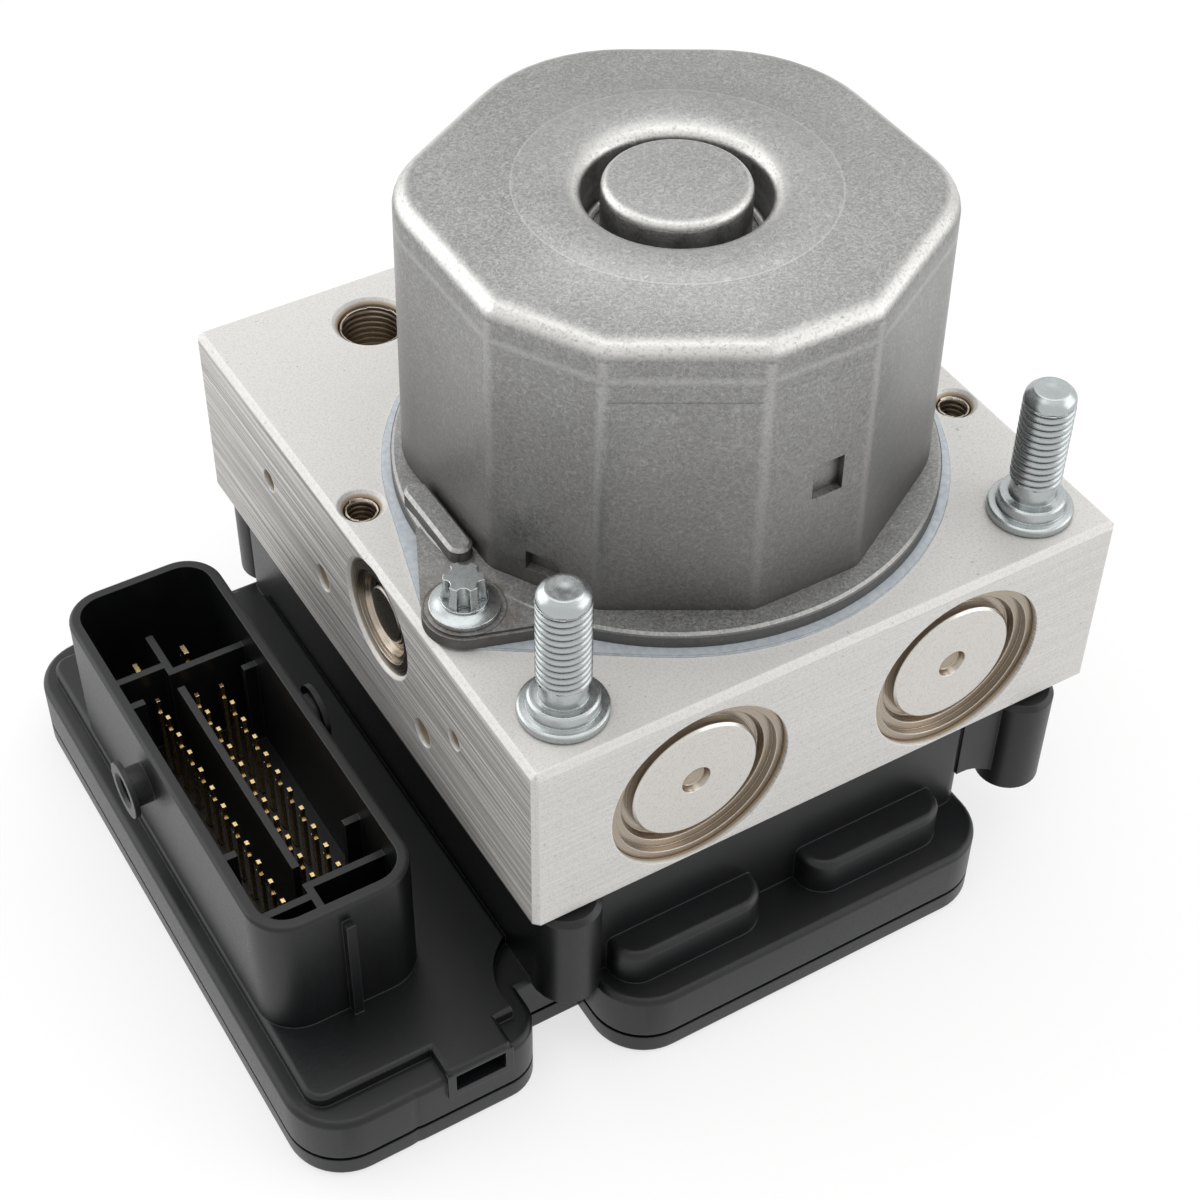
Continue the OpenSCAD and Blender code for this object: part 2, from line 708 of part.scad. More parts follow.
module motor_bolts() {
    z_seat = z_foot + foot_h - 0.2;
    z_dome = bolt_band_h + bolt_dome_h;
    z_ring = z_dome + bolt_ring_h;
    z_head = z_ring + bolt_head_h;
    color("silver") for (side = [-1, 1])
        translate([side * bolt_x, side * bolt_y, 0]) difference() {
            union() {
                translate([0, 0, z_top - bolt_root + 0.5])
                    cylinder(r = bolt_r, h = z_seat - z_top + bolt_root);
                translate([0, 0, z_seat]) rotate_extrude() polygon([
                    [0, 0], [bolt_collar_r, 0], [bolt_collar_r, bolt_band_h],
                    [bolt_collar_r - 0.2, bolt_band_h], [bolt_ring_r, z_dome], [bolt_ring_r, z_ring],
                    [bolt_head_r, z_ring], [bolt_top_r, z_head], [0, z_head]]);
            }
            for (i = [0:5]) rotate([0, 0, 60 * i])
                translate([bolt_head_r + 0.1, 0, z_seat + z_ring])
                    cylinder(r = lobe_r, h = bolt_head_h + cut);
        }
}

// Stud: threaded root, two collars, neck and threaded end
stud_root = 11;
stud_root_r = 3.8;
stud_collar_r = 6.5;
stud_collar_h = 1.6;
stud_step_r = 5.15;
stud_step_h = 2;
stud_neck_r = 3.5;
stud_neck_h = 2.8;
stud_r = 4;
stud_h = 23.4;
stud_tip = 1.2;
stud_dish_r = 2.2;

module stud(side) {
    z1 = stud_collar_h + stud_step_h;
    color("lightgray") translate([side * stud_x, stud_y, z_top]) rotate_extrude() polygon([
        [0, 0.5 - stud_root], [stud_root_r - 0.8, 0.5 - stud_root],
        [stud_root_r, 1.3 - stud_root], [stud_root_r, 0],
        [stud_collar_r, 0], [stud_collar_r, stud_collar_h - 0.4],
        [stud_collar_r - 0.4, stud_collar_h], [stud_step_r, stud_collar_h],
        [stud_step_r, z1 - 0.5], [stud_step_r - 0.5, z1], [stud_neck_r, z1],
        [stud_neck_r, z1 + stud_neck_h], [stud_r, z1 + stud_neck_h + 0.5],
        [stud_r, stud_h - stud_tip], [stud_r - stud_tip, stud_h], [stud_dish_r, stud_h],
        [stud_dish_r - 0.7, stud_h - 0.4], [0, stud_h - 0.4]]);
}

module magnets() {
    span = 74;
    color("dimgray") for (i = [0:3])
        translate([0, 0, z_core - 1]) rotate([0, 0, 90 * i + 45 - span / 2])
            rotate_extrude(angle = span) translate([magnet_r, 0]) square([magnet_t, core_h + 2]);
}

// Ball bearing with a shallow groove between its races, standing on z = 0
module bearing(r_out, r_in, h) {
    mid = (r_out + r_in) / 2;
    difference() {
        cylinder(r = r_out, h = h);
        translate([0, 0, -cut]) cylinder(r = r_in, h = h + 2 * cut);
        for (z = [-cut, h - 0.3]) translate([0, 0, z]) difference() {
            cylinder(r = mid + (r_out - r_in) / 5, h = cut + 0.3);
            translate([0, 0, -cut]) cylinder(r = mid - (r_out - r_in) / 5, h = 3 * cut);
        }
    }
}

module upper_bearing() {
    color("silver") translate([0, 0, z_top_bearing])
        bearing(top_bearing_r, shaft_r + run_gap, top_bearing_h);
}

module lower_bearing() {
    color("silver") translate([0, 0, z_low_bearing])
        bearing(low_bearing_r, shaft_r + run_gap, low_bearing_h);
}

// Plate that carries the two brush holders
brush_w = 5;
brush_h = 6;
brush_l = 8;
brush_gap = 0.3;
holder_l = 14;
brush_y = commutator_r + brush_gap;
z_brush = z_plate + plate_t + 1.4;

module brush_plate() {
    wall = 1.2;
    slack = 0.1;
    color("burlywood") difference() {
        union() {
            translate([0, 0, z_plate]) cylinder(r = plate_r, h = plate_t);
            for (side = [-1, 1]) translate([0, side * (brush_y + 1 + holder_l / 2), z_plate])
                translate([-brush_w / 2 - wall, -holder_l / 2, 0])
                    cube([brush_w + 2 * wall, holder_l, z_brush - z_plate + brush_h + wall]);
        }
        translate([0, 0, z_plate - cut]) cylinder(r = commutator_r + 2, h = plate_t + 2 * cut);
        for (side = [-1, 1])
            translate([0, side * (brush_y + holder_l / 2 - 0.4), z_brush + brush_h / 2])
                cube([brush_w + 2 * slack, holder_l, brush_h + 2 * slack], center = true);
    }
}

module brushes() {
    color("black") for (side = [-1, 1])
        translate([-brush_w / 2, side > 0 ? brush_y : -brush_y - brush_l, z_brush - 0.1])
            cube([brush_w, brush_l, brush_h]);
}

module brush_springs() {
    length = holder_l - brush_l - 0.5;
    color("silver") for (side = [-1, 1])
        translate([0, side * (brush_y + brush_l), z_brush + brush_h / 2])
            rotate([-90 * side, 0, 0]) coil_spring(1.8, 0.3, length, 4, 10, 5);
}

// Insulated carrier that takes the motor's current down to the circuit board
module motor_lead() {
    color("black") translate([lead_pos[0], lead_pos[1], z_board])
        cylinder(r = lead_r, h = z_plate - z_board);
}

module rotor_shaft() {
    color("silver") {
        translate([0, 0, z_journal + journal_h])
            cylinder(r = shaft_r, h = z_top_bearing + top_bearing_h - z_journal - journal_h);
        translate([eccentric, 0, z_journal]) cylinder(r = journal_r, h = journal_h);
        translate([0, 0, z_journal - 1.5]) cylinder(r = shaft_r - 0.8, h = 1.6);
    }
}

// Ring that rolls on the eccentric journal and drives the pump pistons
module eccentric_bearing() {
    color("silver") translate([eccentric, 0, z_journal + 0.25]) difference() {
        cylinder(r = ring_r, h = journal_h - 0.5);
        translate([0, 0, -cut]) cylinder(r = journal_r + run_gap, h = journal_h + 2 * cut);
    }
}

slot_w = 3.4;
slot_mouth = 1.6;
slot_in = 14.5;
slot_out = core_r - 2;

module armature_core() {
    color("gray") translate([0, 0, z_core]) linear_extrude(core_h) difference() {
        circle(core_r);
        circle(shaft_r + seat_gap);
        for (i = [0:slot_count - 1]) rotate(360 * i / slot_count) {
            translate([slot_in, -slot_w / 2]) square([slot_out - slot_in, slot_w]);
            translate([slot_out - 1, -slot_mouth / 2]) square([5, slot_mouth]);
        }
    }
}

module armature_windings() {
    slack = 0.15;
    color("chocolate") difference() {
        union() {
            for (i = [0:slot_count - 1]) rotate([0, 0, 360 * i / slot_count])
                translate([slot_in + slack, -slot_w / 2 + slack, z_core - cut])
                    cube([slot_out - slot_in - 2 * slack, slot_w - 2 * slack, core_h + 2 * cut]);
            for (z = [z_core - end_turn, z_core + core_h])
                translate([0, 0, z]) cylinder(r = slot_out - 1, h = end_turn);
        }
        for (z = [z_core - end_turn, z_core + core_h])
            translate([0, 0, z - cut]) cylinder(r = slot_in - 1.5, h = end_turn + 2 * cut);
    }
}

module commutator() {
    bars = 12;
    color("peru") translate([0, 0, z_commutator]) difference() {
        cylinder(r = commutator_r, h = commutator_h);
        translate([0, 0, -cut]) cylinder(r = shaft_r + seat_gap, h = commutator_h + 2 * cut);
        for (i = [0:bars - 1]) rotate([0, 0, 360 * (i + 0.5) / bars])
            translate([commutator_r - 1.2, -0.3, -cut]) cube([3, 0.6, commutator_h + 2 * cut]);
    }
}

// Plug of a pump bore, with two steps down to a sunk disc
module pump_plug(side) {
    face = plug_depth - 0.6;
    color("tan") pump_axis(side) translate([0, 0, plug_start]) rotate_extrude() polygon([
        [0, 0], [plug_r, 0], [plug_r, face], [plug_r - 1.8, face], [plug_r - 1.8, face - 0.6],
        [plug_r - 2.9, face - 0.6], [plug_r - 3.3, face - 1.6], [5, face - 1.6],
        [5, face - 2.2], [4.6, face - 2.2], [4.6, face - 1.2], [4.3, face - 0.9],
        [0, face - 0.9]]);
}

// Sleeve in which a pump piston runs, closed at its outer end but for the outlet
module pump_sleeve(side) {
    length = plug_start - sleeve_start;
    color("silver") pump_axis(side) translate([0, 0, sleeve_start]) difference() {
        cylinder(r = sleeve_r, h = length);
        translate([0, 0, -cut])
            cylinder(r = pump_piston_r + run_gap, h = length - sleeve_end_t + cut);
        cylinder(r = 0.8, h = length + cut);
    }
}

module pump_piston(side) {
    color("silver") pump_axis(side) translate([0, 0, piston_tip]) rotate_extrude() polygon([
        [0, 0], [pump_piston_r - 0.6, 0], [pump_piston_r, 0.6],
        [pump_piston_r, pump_piston_l - 4], [pump_piston_r - 0.7, pump_piston_l - 4],
        [pump_piston_r - 0.7, pump_piston_l - 2.5], [pump_piston_r, pump_piston_l - 2.5],
        [pump_piston_r, pump_piston_l], [0, pump_piston_l]]);
}

module pump_spring(side) {
    color("silver") pump_axis(side) translate([0, 0, pump_piston_end])
        coil_spring(2.6, 0.4, pump_spring_l, 4, 12, 6);
}

// Cap of an accumulator: rings stepping down to a groove round a raised disc
dimple_r = 2.4;

module accumulator_cap(side) {
    rim = cap_depth - 1;
    step = rim - 1.1;
    groove = step - 1.2;
    disc = rim - 0.3;
    color("tan") acc_axis(side) translate([0, 0, cap_seat]) rotate_extrude() polygon([
        [0, -nose_l], [nose_r - 0.5, -nose_l], [nose_r, 0.5 - nose_l], [nose_r, 0],
        [cap_r, 0], [cap_r, rim], [cap_r - 1.3, rim], [cap_r - 1.3, step],
        [disc_r + 1.6, step], [disc_r + 1.1, groove], [disc_r, groove],
        [disc_r, disc - 0.4], [disc_r - 0.4, disc], [dimple_r, disc],
        [dimple_r - 0.5, disc - 1.1], [0, disc - 1.7]]);
}

module accumulator_piston(side) {
    skirt = 1.6;
    r = acc_r - run_gap;
    color("gray") acc_axis(side) translate([0, 0, acc_piston_floor - acc_floor_t])
        rotate_extrude() polygon([
            [0, 0], [r - 1, 0], [r, 1], [r, 2.6], [r - 1, 2.6], [r - 1, 4.2], [r, 4.2],
            [r, acc_piston_l], [r - skirt, acc_piston_l], [r - skirt, acc_floor_t],
            [0, acc_floor_t]]);
}

acc_spring_r = 8.6;

module accumulator_spring(side) {
    color("silver") acc_axis(side) translate([0, 0, acc_piston_floor])
        coil_spring(acc_spring_r, 0.8, cap_seat - acc_piston_floor, 3.5, 16, 6);
}

// Screw tower under a corner of the block, counterbored from below
tower_bevel = 0.8;

module tower(x, y) {
    h = tower_drop - rim_gap;
    translate([x, y, z_block - tower_drop]) {
        cylinder(r = tower_r, h = h - tower_bevel);
        translate([0, 0, h - tower_bevel])
            cylinder(r1 = tower_r, r2 = tower_r - tower_bevel, h = tower_bevel);
    }
}

// Front of the control housing: window of the lid's latch
latch_x = [-notch_left - 15.5, -notch_left - 7.3];
latch_h = 3.6;
latch_depth = 4.5;
latch_drop = 1.4;
frame_w = 1.3;
frame_proud = 0.6;
tower_clear = 11;
deck_margin = [2.7, 4.8, 4.5];
deck_soft = 0.8;
deck_step = 11;

// Two pads on the front flange: [left, right]
pads = [[-37, -11.2], [-3, 22.5]];

module deck() {
    difference() {
        union() {
            soft_plate(-flange_left + deck_margin[0], -body_left, -deck_front + deck_margin[1],
                deck_back - deck_margin[2], 3, deck_h, deck_soft);
            soft_plate(latch_x[0] - frame_w, latch_x[1] + frame_w, -deck_front - frame_proud,
                -deck_front + deck_step, 1.2, deck_h, deck_soft);
        }
        for (y = tower_y) translate([tower_x[0], y, -cut])
            cylinder(r = tower_clear, h = deck_h + 2 * cut);
    }
}

// Frame round the latch window, standing proud of the flange
module latch_frame() {
    h = latch_h + latch_drop + frame_w;
    translate([latch_x[0] - frame_w, -deck_front - frame_proud, z_deck - h])
        cube([latch_x[1] - latch_x[0] + 2 * frame_w, frame_proud + 1, h - deck_soft - 0.2]);
}

// Webs that tie the right-hand towers to the body, with a foot that curves down to the tower
web_t = 4.4;
web_h = 12.5;
web_sweep = 5.2;
web_y = [-body_front, body_back - web_t];

module web(y) {
    length = tower_x[1] - body_right;
    foot = [for (t = [0:0.1:1])
        [body_right + t * length, -web_h - web_sweep * (1 - cos(180 * t)) / 2]];
    translate([0, y + web_t, z_block - rim_gap]) rotate([90, 0, 0]) linear_extrude(web_t)
        polygon(concat([[tower_x[1], 0], [body_right - 1, 0], [body_right - 1, -web_h]], foot));
}

// Two pivot bosses for the plug's lever, on the shroud's long sides, with a rim at their ends
pivot_y = 9.5;
pivot_r = 3.2;
pivot_disc_r = 4.6;
pivot_disc_t = 0.9;
pivot_proud = 3.7;
pivot_bore = 2.6;
pivot_mouth = 0.5;

module pivot(side) {
    x = side < 0 ? -shroud_left : -shroud_right;
    translate([x, pivot_y, z_deck + pivot_rise]) rotate([0, 90 * side, 0]) {
        translate([0, 0, -0.5]) cylinder(r = pivot_r, h = pivot_proud);
        translate([0, 0, pivot_proud - pivot_disc_t])
            cylinder(r = pivot_disc_r, h = pivot_disc_t);
    }
}

module pivot_hole(side) {
    x = side < 0 ? -shroud_left : -shroud_right;
    translate([x, pivot_y, z_deck + pivot_rise]) rotate([0, 90 * side, 0]) {
        translate([0, 0, 0.2]) cylinder(r = pivot_bore, h = pivot_proud + cut);
        translate([0, 0, pivot_proud - pivot_mouth])
            cylinder(r1 = pivot_bore, r2 = pivot_bore + pivot_mouth, h = pivot_mouth + 0.01);
    }
}

// Dividers in the connector, each as [left, right, front, back]
row_split = 10.8 - shroud_left;
rib_t = 1.5;
in_left = -shroud_left + shroud_wall / 2;
in_right = -shroud_right - shroud_wall / 2;
in_front = -shroud_front + shroud_wall / 2;
dividers = [
    [in_left, row_split + divider_t, 26.4, 26.4 + divider_t],
    [row_split, in_right, 24.5, 24.5 + divider_t],
    [row_split, row_split + divider_t, 24.5, 34],
    [row_split, row_split + divider_t, -20, 21.3],
    [in_left, row_split + divider_t, -26.4, -26.4 + divider_t],
    [row_split, in_right, -24.5, -24.5 + divider_t],
    [row_split, row_split + divider_t, in_front, -24],
    [in_left, in_left + 4.4, 20.7, 20.7 + divider_t],
    [in_right - 3.1, in_right, 19.6, 19.6 + divider_t],
    [in_right - 3.5, in_right, -16.6, -16.6 + divider_t],
    [in_left, in_left + 4.1, -13.8, -13.8 + divider_t]];

module connector() {
    h = shroud_h + 1;
    translate([0, 0, z_deck - 1]) difference() {
        soft_plate(-shroud_left, -shroud_right, -shroud_front, shroud_back, shroud_round, h, 0.7);
        translate([0, 0, 1.8]) linear_extrude(h)
            plate(-shroud_left + shroud_wall, -shroud_right - shroud_wall,
                -shroud_front + shroud_wall, shroud_back - shroud_wall,
                shroud_round - shroud_wall);
    }
    for (d = dividers) translate([d[0], d[2], z_deck])
        cube([d[1] - d[0], d[3] - d[2], divider_h]);
    for (side = [-1, 1]) pivot(side);
    // End ribs from the deck to near the rim
    for (y = [-shroud_front - rib_t, shroud_back - 0.5])
        translate([-shroud_left + (shroud_w - rib_t) / 2, y, z_deck - 1])
            cube([rib_t, rib_t + 0.5, shroud_h - 2]);
}

// Passages of the connector pins through the floor
module pin_holes() {
    z0 = z_chamber - cut;
    h = z_floor - z_chamber + 2 * cut;
    for (row = pin_rows, i = [0:row[2] - 1])
        translate([row[0] - pin_t / 2 - pin_slack, row[1] - i * pin_pitch - pin_w / 2 - pin_slack, z0])
            cube([pin_t + 2 * pin_slack, pin_w + 2 * pin_slack, h]);
    for (p = power_pos)
        translate([p[0] - 0.4 - pin_slack, p[1] - power_w / 2 - pin_slack, z0])
            cube([power_t + 2 * pin_slack, power_w + 2 * pin_slack, h]);
}

// Plan of the body's inside, drawn in by an inset, and led round the left-hand towers
seal_clear = 3.7;
seal_inset = 0.8;
seal_w = 1.4;
seal_h = 1.5;

module body_plan(inset) {
    difference() {
        plate(-body_left + inset, body_right - inset, -body_front + inset, body_back - inset,
            max(2.5 - inset, 0.4));
        for (y = tower_y) translate([tower_x[0], y]) circle(seal_clear + inset);
    }
}

module housing_shell() {
    difference() {
        union() {
            translate([0, 0, z_flange_low]) soft_outline(flange_h, flange_soft);
            translate([0, 0, z_flange - 0.01]) deck();
            translate([0, 0, z_flange - 1]) linear_extrude(z_block - rim_gap - z_flange + 1)
                plate(-body_left, body_right, -body_front, body_back, 2.5);
            for (p = pads) translate([0, 0, z_flange - 1])
                soft_plate(p[0], p[1], -body_front - pad_d, -body_front + 6, 4.5, pad_h + 1, 1.2);
            connector();
        }
        // Chamber of the circuit board, open below
        translate([0, 0, z_flange_low - cut]) linear_extrude(z_chamber - z_flange_low + cut)
            outline(flange_wall);
        // Room for the coils, open to the block
        translate([0, 0, z_flange]) linear_extrude(body_h + deck_h) body_plan(body_wall);
    }
}

module control_housing() {
    color([0.09, 0.09, 0.1]) difference() {
        union() {
            housing_shell();
            for (x = tower_x, y = tower_y) tower(x, y);
            for (y = web_y) web(y);
            latch_frame();
            // Bosses on which the circuit board is seated
            for (p = board_bosses) translate([p[0], p[1], z_board])
                cylinder(r = 2, h = board_gap + 0.5);
        }
        // Groove of the seal in the rim
        translate([0, 0, z_block - seal_h]) linear_extrude(2) difference() {
            body_plan(seal_inset);
            body_plan(seal_inset + seal_w);
        }
        for (x = tower_x, y = tower_y) translate([x, y, z_block - tower_drop - cut]) {
            cylinder(r = screw_head_r + 0.2, h = tower_drop - screw_grip + cut);
            cylinder(r = screw_r + 0.2, h = tower_drop + 2 * cut);
        }
        for (side = [-1, 1]) pivot_hole(side);
        pin_holes();
        translate([latch_x[0], -deck_front - cut, z_deck - latch_drop - latch_h])
            cube([latch_x[1] - latch_x[0], latch_depth + cut, latch_h]);
        translate([lead_pos[0], lead_pos[1], z_chamber - cut])
            cylinder(r = lead_r + 0.2, h = ceiling_t + 2 * cut);
    }
}

board_bosses = [[9 - flange_left, 11.2 - deck_front], [-notch_left - 5.5, 7.2 - deck_front],
    [flange_right - 9.5, 9.5 - flange_front], [flange_right - 9.5, flange_rear - 10],
    [9.8 - notch_right, flange_rear - 10], [9 - flange_left, deck_back - 10.5]];

module control_lid() {
    color([0.09, 0.09, 0.1]) {
        difference() {
            translate([0, 0, lid_h]) mirror([0, 0, 1]) soft_outline(lid_h, flange_soft);
            translate([0, 0, 2]) linear_extrude(lid_h) outline(flange_wall + 2);
        }
        // Welding rib under the housing's wall
        translate([0, 0, lid_h - 0.5]) linear_extrude(seam_h + 0.5) difference() {
            outline(1.3);
            outline(flange_wall - 0.1);
        }
    }
}

module block_seal() {
    slack = 0.05;
    color("orangered") translate([0, 0, z_block - seal_h]) linear_extrude(seal_h) difference() {
        body_plan(seal_inset + slack);
        body_plan(seal_inset + seal_w - slack);
    }
}

module housing_screws() {
    z_head = z_block - screw_grip - screw_head_h;
    color("silver") for (x = tower_x, y = tower_y) translate([x, y, z_head]) difference() {
        union() {
            cylinder(r = screw_head_r, h = screw_head_h);
            translate([0, 0, screw_head_h - cut])
                cylinder(r = screw_r, h = screw_grip + screw_bite + cut);
        }
        translate([0, 0, -cut]) cylinder(r = 1.9, h = 2.2 + cut, $fn = 6);
    }
}

module circuit_board() {
    color("darkgreen") difference() {
        translate([0, 0, z_board - board_t]) linear_extrude(board_t) outline(board_margin);
        for (row = pin_rows, i = [0:row[2] - 1])
            translate([row[0], row[1] - i * pin_pitch, z_board - board_t - cut])
                cylinder(r = 0.55, h = board_t + 2 * cut);
        for (p = power_pos) translate([p[0] - 0.6, p[1] - 1.2, z_board - board_t - cut])
            cube([1.2, 2.4, board_t + 2 * cut]);
    }
}

// Parts on the underside of the board: [x, y, width, depth, height]
chips = [[-10, 10, 24, 24, 1.6], [-38, 12, 14, 14, 1.4], [-12, -22, 18, 12, 2.2],
    [10, -30, 10, 10, 2.8], [-40, -20, 12, 18, 2], [12, 40, 12, 10, 2.6], [-30, 42, 16, 8, 1.8]];

module board_parts() {
    z = z_board - board_t;
    color("black") for (c = chips) translate([c[0] - c[2] / 2, c[1] - c[3] / 2, z - c[4]])
        cube([c[2], c[3], c[4]]);
}

// Flat pin: stem through the board, blade and narrow tip, standing on z = 0
pin_root = 0.8;
pin_tip = 2.4;

module pin(blade_w, tip_w, pin_thick, h) {
    blade_low = pin_root + board_t + 0.6;
    translate([-pin_thick / 2, -tip_w / 2, 0]) cube([pin_thick, tip_w, h]);
    translate([-pin_thick / 2, -blade_w / 2, blade_low])
        cube([pin_thick, blade_w, h - pin_tip - blade_low]);
}

module signal_pins() {
    z0 = z_board - board_t - pin_root;
    color("goldenrod") for (row = pin_rows, i = [0:row[2] - 1])
        translate([row[0], row[1] - i * pin_pitch, z0])
            pin(pin_w, 0.8, pin_t, z_deck + pin_h - z0);
}

module power_pins() {
    z0 = z_board - board_t - pin_root;
    color("goldenrod") for (p = power_pos)
        translate([p[0], p[1], z0]) pin(power_w, 2, power_t, z_deck + pin_h - z0);
}

// Body of a valve: three steps in the block and a closed tube below it
module valve_body() {
    h0 = valve_step[0][1];
    h1 = h0 + valve_step[1][1];
    h2 = h1 + valve_step[2][1] - 0.2;
    inner = dome_r - dome_wall;
    drop = z_block - dome_low;
    pole = z_core_pole - z_block;
    rotate_extrude() polygon([
        [0, -drop], [dome_r - 0.6, -drop], [dome_r, 0.6 - drop], [dome_r, 0],
        [valve_step[0][0], 0], [valve_step[0][0], h0], [valve_step[1][0], h0],
        [valve_step[1][0], h1], [valve_step[2][0], h1], [valve_step[2][0], h2],
        [0.6, h2], [0.6, pole + 3], [1.7, pole + 3], [1.7, pole], [inner, pole],
        [inner, 0.4 - drop], [0, 0.4 - drop]]);
}

module valve_row(y) {
    for (x = valve_columns) translate([x, y, z_block]) children();
}

module inlet_valve_bodies() {
    color("silver") valve_row(inlet_y) valve_body();
}

module outlet_valve_bodies() {
    color("silver") valve_row(outlet_y) valve_body();
}

module valve_armature(number) {
    x = valve_columns[(number - 1) % 4];
    y = number > 4 ? outlet_y : inlet_y;
    color("gray") translate([x, y, z_armature]) rotate_extrude() polygon([
        [0, 0], [armature_r - 0.5, 0], [armature_r, 0.5], [armature_r, armature_l],
        [0, armature_l]]);
}

// Closely wound springs between the armatures and the poles above them
module valve_springs() {
    r = 1.1;
    wire = 0.4;
    z = z_armature + armature_l + spring_gap;
    coils = floor((z_core_pole + 3 - z) / wire);
    outside = [for (i = [0:coils - 1], k = [0.5, 1]) [r + (k < 1 ? 0.2 : 0.05), (i + k) * wire]];
    inside = [for (i = [coils - 1:-1:0], k = [1, 0.5]) [r - (k < 1 ? 0.2 : 0.05), (i + k) * wire]];
    color("silver") for (y = [inlet_y, outlet_y]) valve_row(y)
        translate([0, 0, z - z_block]) rotate_extrude() polygon(concat(outside, inside));
}

coil_wall = 1;

module coil_cases() {
    color("lightgray") for (y = [inlet_y, outlet_y]) valve_row(y)
        translate([0, 0, z_flange - z_block]) difference() {
            cylinder(r = coil_r, h = coil_h);
            translate([0, 0, -cut]) cylinder(r = dome_r + 0.1, h = coil_h + 2 * cut);
            translate([0, 0, coil_wall]) difference() {
                cylinder(r = coil_r - coil_wall, h = coil_h - 2 * coil_wall);
                translate([0, 0, -cut]) cylinder(r = dome_r + 0.5, h = coil_h);
            }
        }
}

module coil_windings() {
    color("peru") for (y = [inlet_y, outlet_y]) valve_row(y)
        translate([0, 0, z_flange - z_block + coil_wall]) difference() {
            cylinder(r = coil_r - coil_wall - seat_gap, h = coil_h - 2 * coil_wall);
            translate([0, 0, -cut]) cylinder(r = dome_r + 0.5 + seat_gap, h = coil_h);
        }
}

valve_block();
channel_balls();
motor_can();
motor_gasket();
motor_bolts();
magnets();
upper_bearing();
lower_bearing();
brush_plate();
brushes();
brush_springs();
motor_lead();
rotor_shaft();
armature_core();
armature_windings();
commutator();
eccentric_bearing();
pump_plug(-1);  // pump_plug_left
pump_plug(1);  // pump_plug_right
pump_sleeve(-1);  // pump_sleeve_left
pump_sleeve(1);  // pump_sleeve_right
pump_piston(-1);  // pump_piston_left
pump_piston(1);  // pump_piston_right
pump_spring(-1);  // pump_spring_left
pump_spring(1);  // pump_spring_right
accumulator_cap(-1);  // accumulator_cap_left
accumulator_cap(1);  // accumulator_cap_right
accumulator_piston(-1);  // accumulator_piston_left
accumulator_piston(1);  // accumulator_piston_right
accumulator_spring(-1);  // accumulator_spring_left
accumulator_spring(1);  // accumulator_spring_right
stud(-1);  // stud_left
stud(1);  // stud_right
control_housing();
control_lid();
block_seal();
housing_screws();
circuit_board();
board_parts();
signal_pins();
power_pins();
inlet_valve_bodies();
outlet_valve_bodies();
coil_cases();
coil_windings();
valve_springs();
valve_armature(1);  // valve_armature_1
valve_armature(2);  // valve_armature_2
valve_armature(3);  // valve_armature_3
valve_armature(4);  // valve_armature_4
valve_armature(5);  // valve_armature_5
valve_armature(6);  // valve_armature_6
valve_armature(7);  // valve_armature_7
valve_armature(8);  // valve_armature_8
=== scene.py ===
# Anti-lock brake module on a pale studio floor: finishes, threads and the photograph's camera.
import json
import math

import bpy
from mathutils import Matrix, Vector


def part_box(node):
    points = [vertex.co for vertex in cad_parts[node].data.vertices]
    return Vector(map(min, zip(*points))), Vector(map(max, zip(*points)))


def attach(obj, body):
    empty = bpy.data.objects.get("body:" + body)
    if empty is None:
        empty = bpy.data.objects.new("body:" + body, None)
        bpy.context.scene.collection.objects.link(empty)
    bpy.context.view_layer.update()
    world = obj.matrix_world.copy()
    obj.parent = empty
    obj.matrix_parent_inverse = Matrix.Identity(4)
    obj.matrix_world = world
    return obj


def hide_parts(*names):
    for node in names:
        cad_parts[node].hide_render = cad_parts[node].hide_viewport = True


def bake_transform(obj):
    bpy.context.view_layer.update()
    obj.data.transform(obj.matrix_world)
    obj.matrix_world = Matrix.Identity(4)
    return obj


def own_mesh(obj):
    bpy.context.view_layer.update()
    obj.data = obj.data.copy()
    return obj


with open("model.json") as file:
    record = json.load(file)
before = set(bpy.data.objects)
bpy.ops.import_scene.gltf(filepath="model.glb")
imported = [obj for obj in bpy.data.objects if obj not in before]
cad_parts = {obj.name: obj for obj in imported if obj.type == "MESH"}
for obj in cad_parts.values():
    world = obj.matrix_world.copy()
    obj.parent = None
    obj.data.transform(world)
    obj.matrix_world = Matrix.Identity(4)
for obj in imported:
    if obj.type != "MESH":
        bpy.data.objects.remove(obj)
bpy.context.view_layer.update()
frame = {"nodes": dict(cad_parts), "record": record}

mm = 0.001
print("stage: frame loaded,", len(frame["nodes"]), "solid pieces")


# Small helpers

def toLinear(hexText):  # sRGB hex to a linear colour with alpha
    parts = [int(hexText[i:i + 2], 16) / 255 for i in (1, 3, 5)]
    return [c / 12.92 if c <= 0.04045 else ((c + 0.055) / 1.055) ** 2.4 for c in parts] + [1.0]


def addNode(tree, kind, settings=None, inputs=None):  # a node with its settings and links
    node = tree.nodes.new(kind)
    for name, value in (settings or {}).items():
        setattr(node, name, value)
    for name, value in (inputs or {}).items():
        if isinstance(value, bpy.types.NodeSocket):
            tree.links.new(value, node.inputs[name])
        else:
            node.inputs[name].default_value = value
    return node


def startMaterial(name):
    material = bpy.data.materials.new(name)
    material.use_nodes = True
    material.node_tree.nodes.clear()
    return material, material.node_tree


def layTones(tree, tone, layers):  # each layer's colour covers the last one by its share
    for share, hexText in layers:
        tone = addNode(tree, "ShaderNodeMix", {"data_type": "RGBA"}, {
            0: share, 6: tone, 7: toLinear(hexText)}).outputs[2]
    return tone


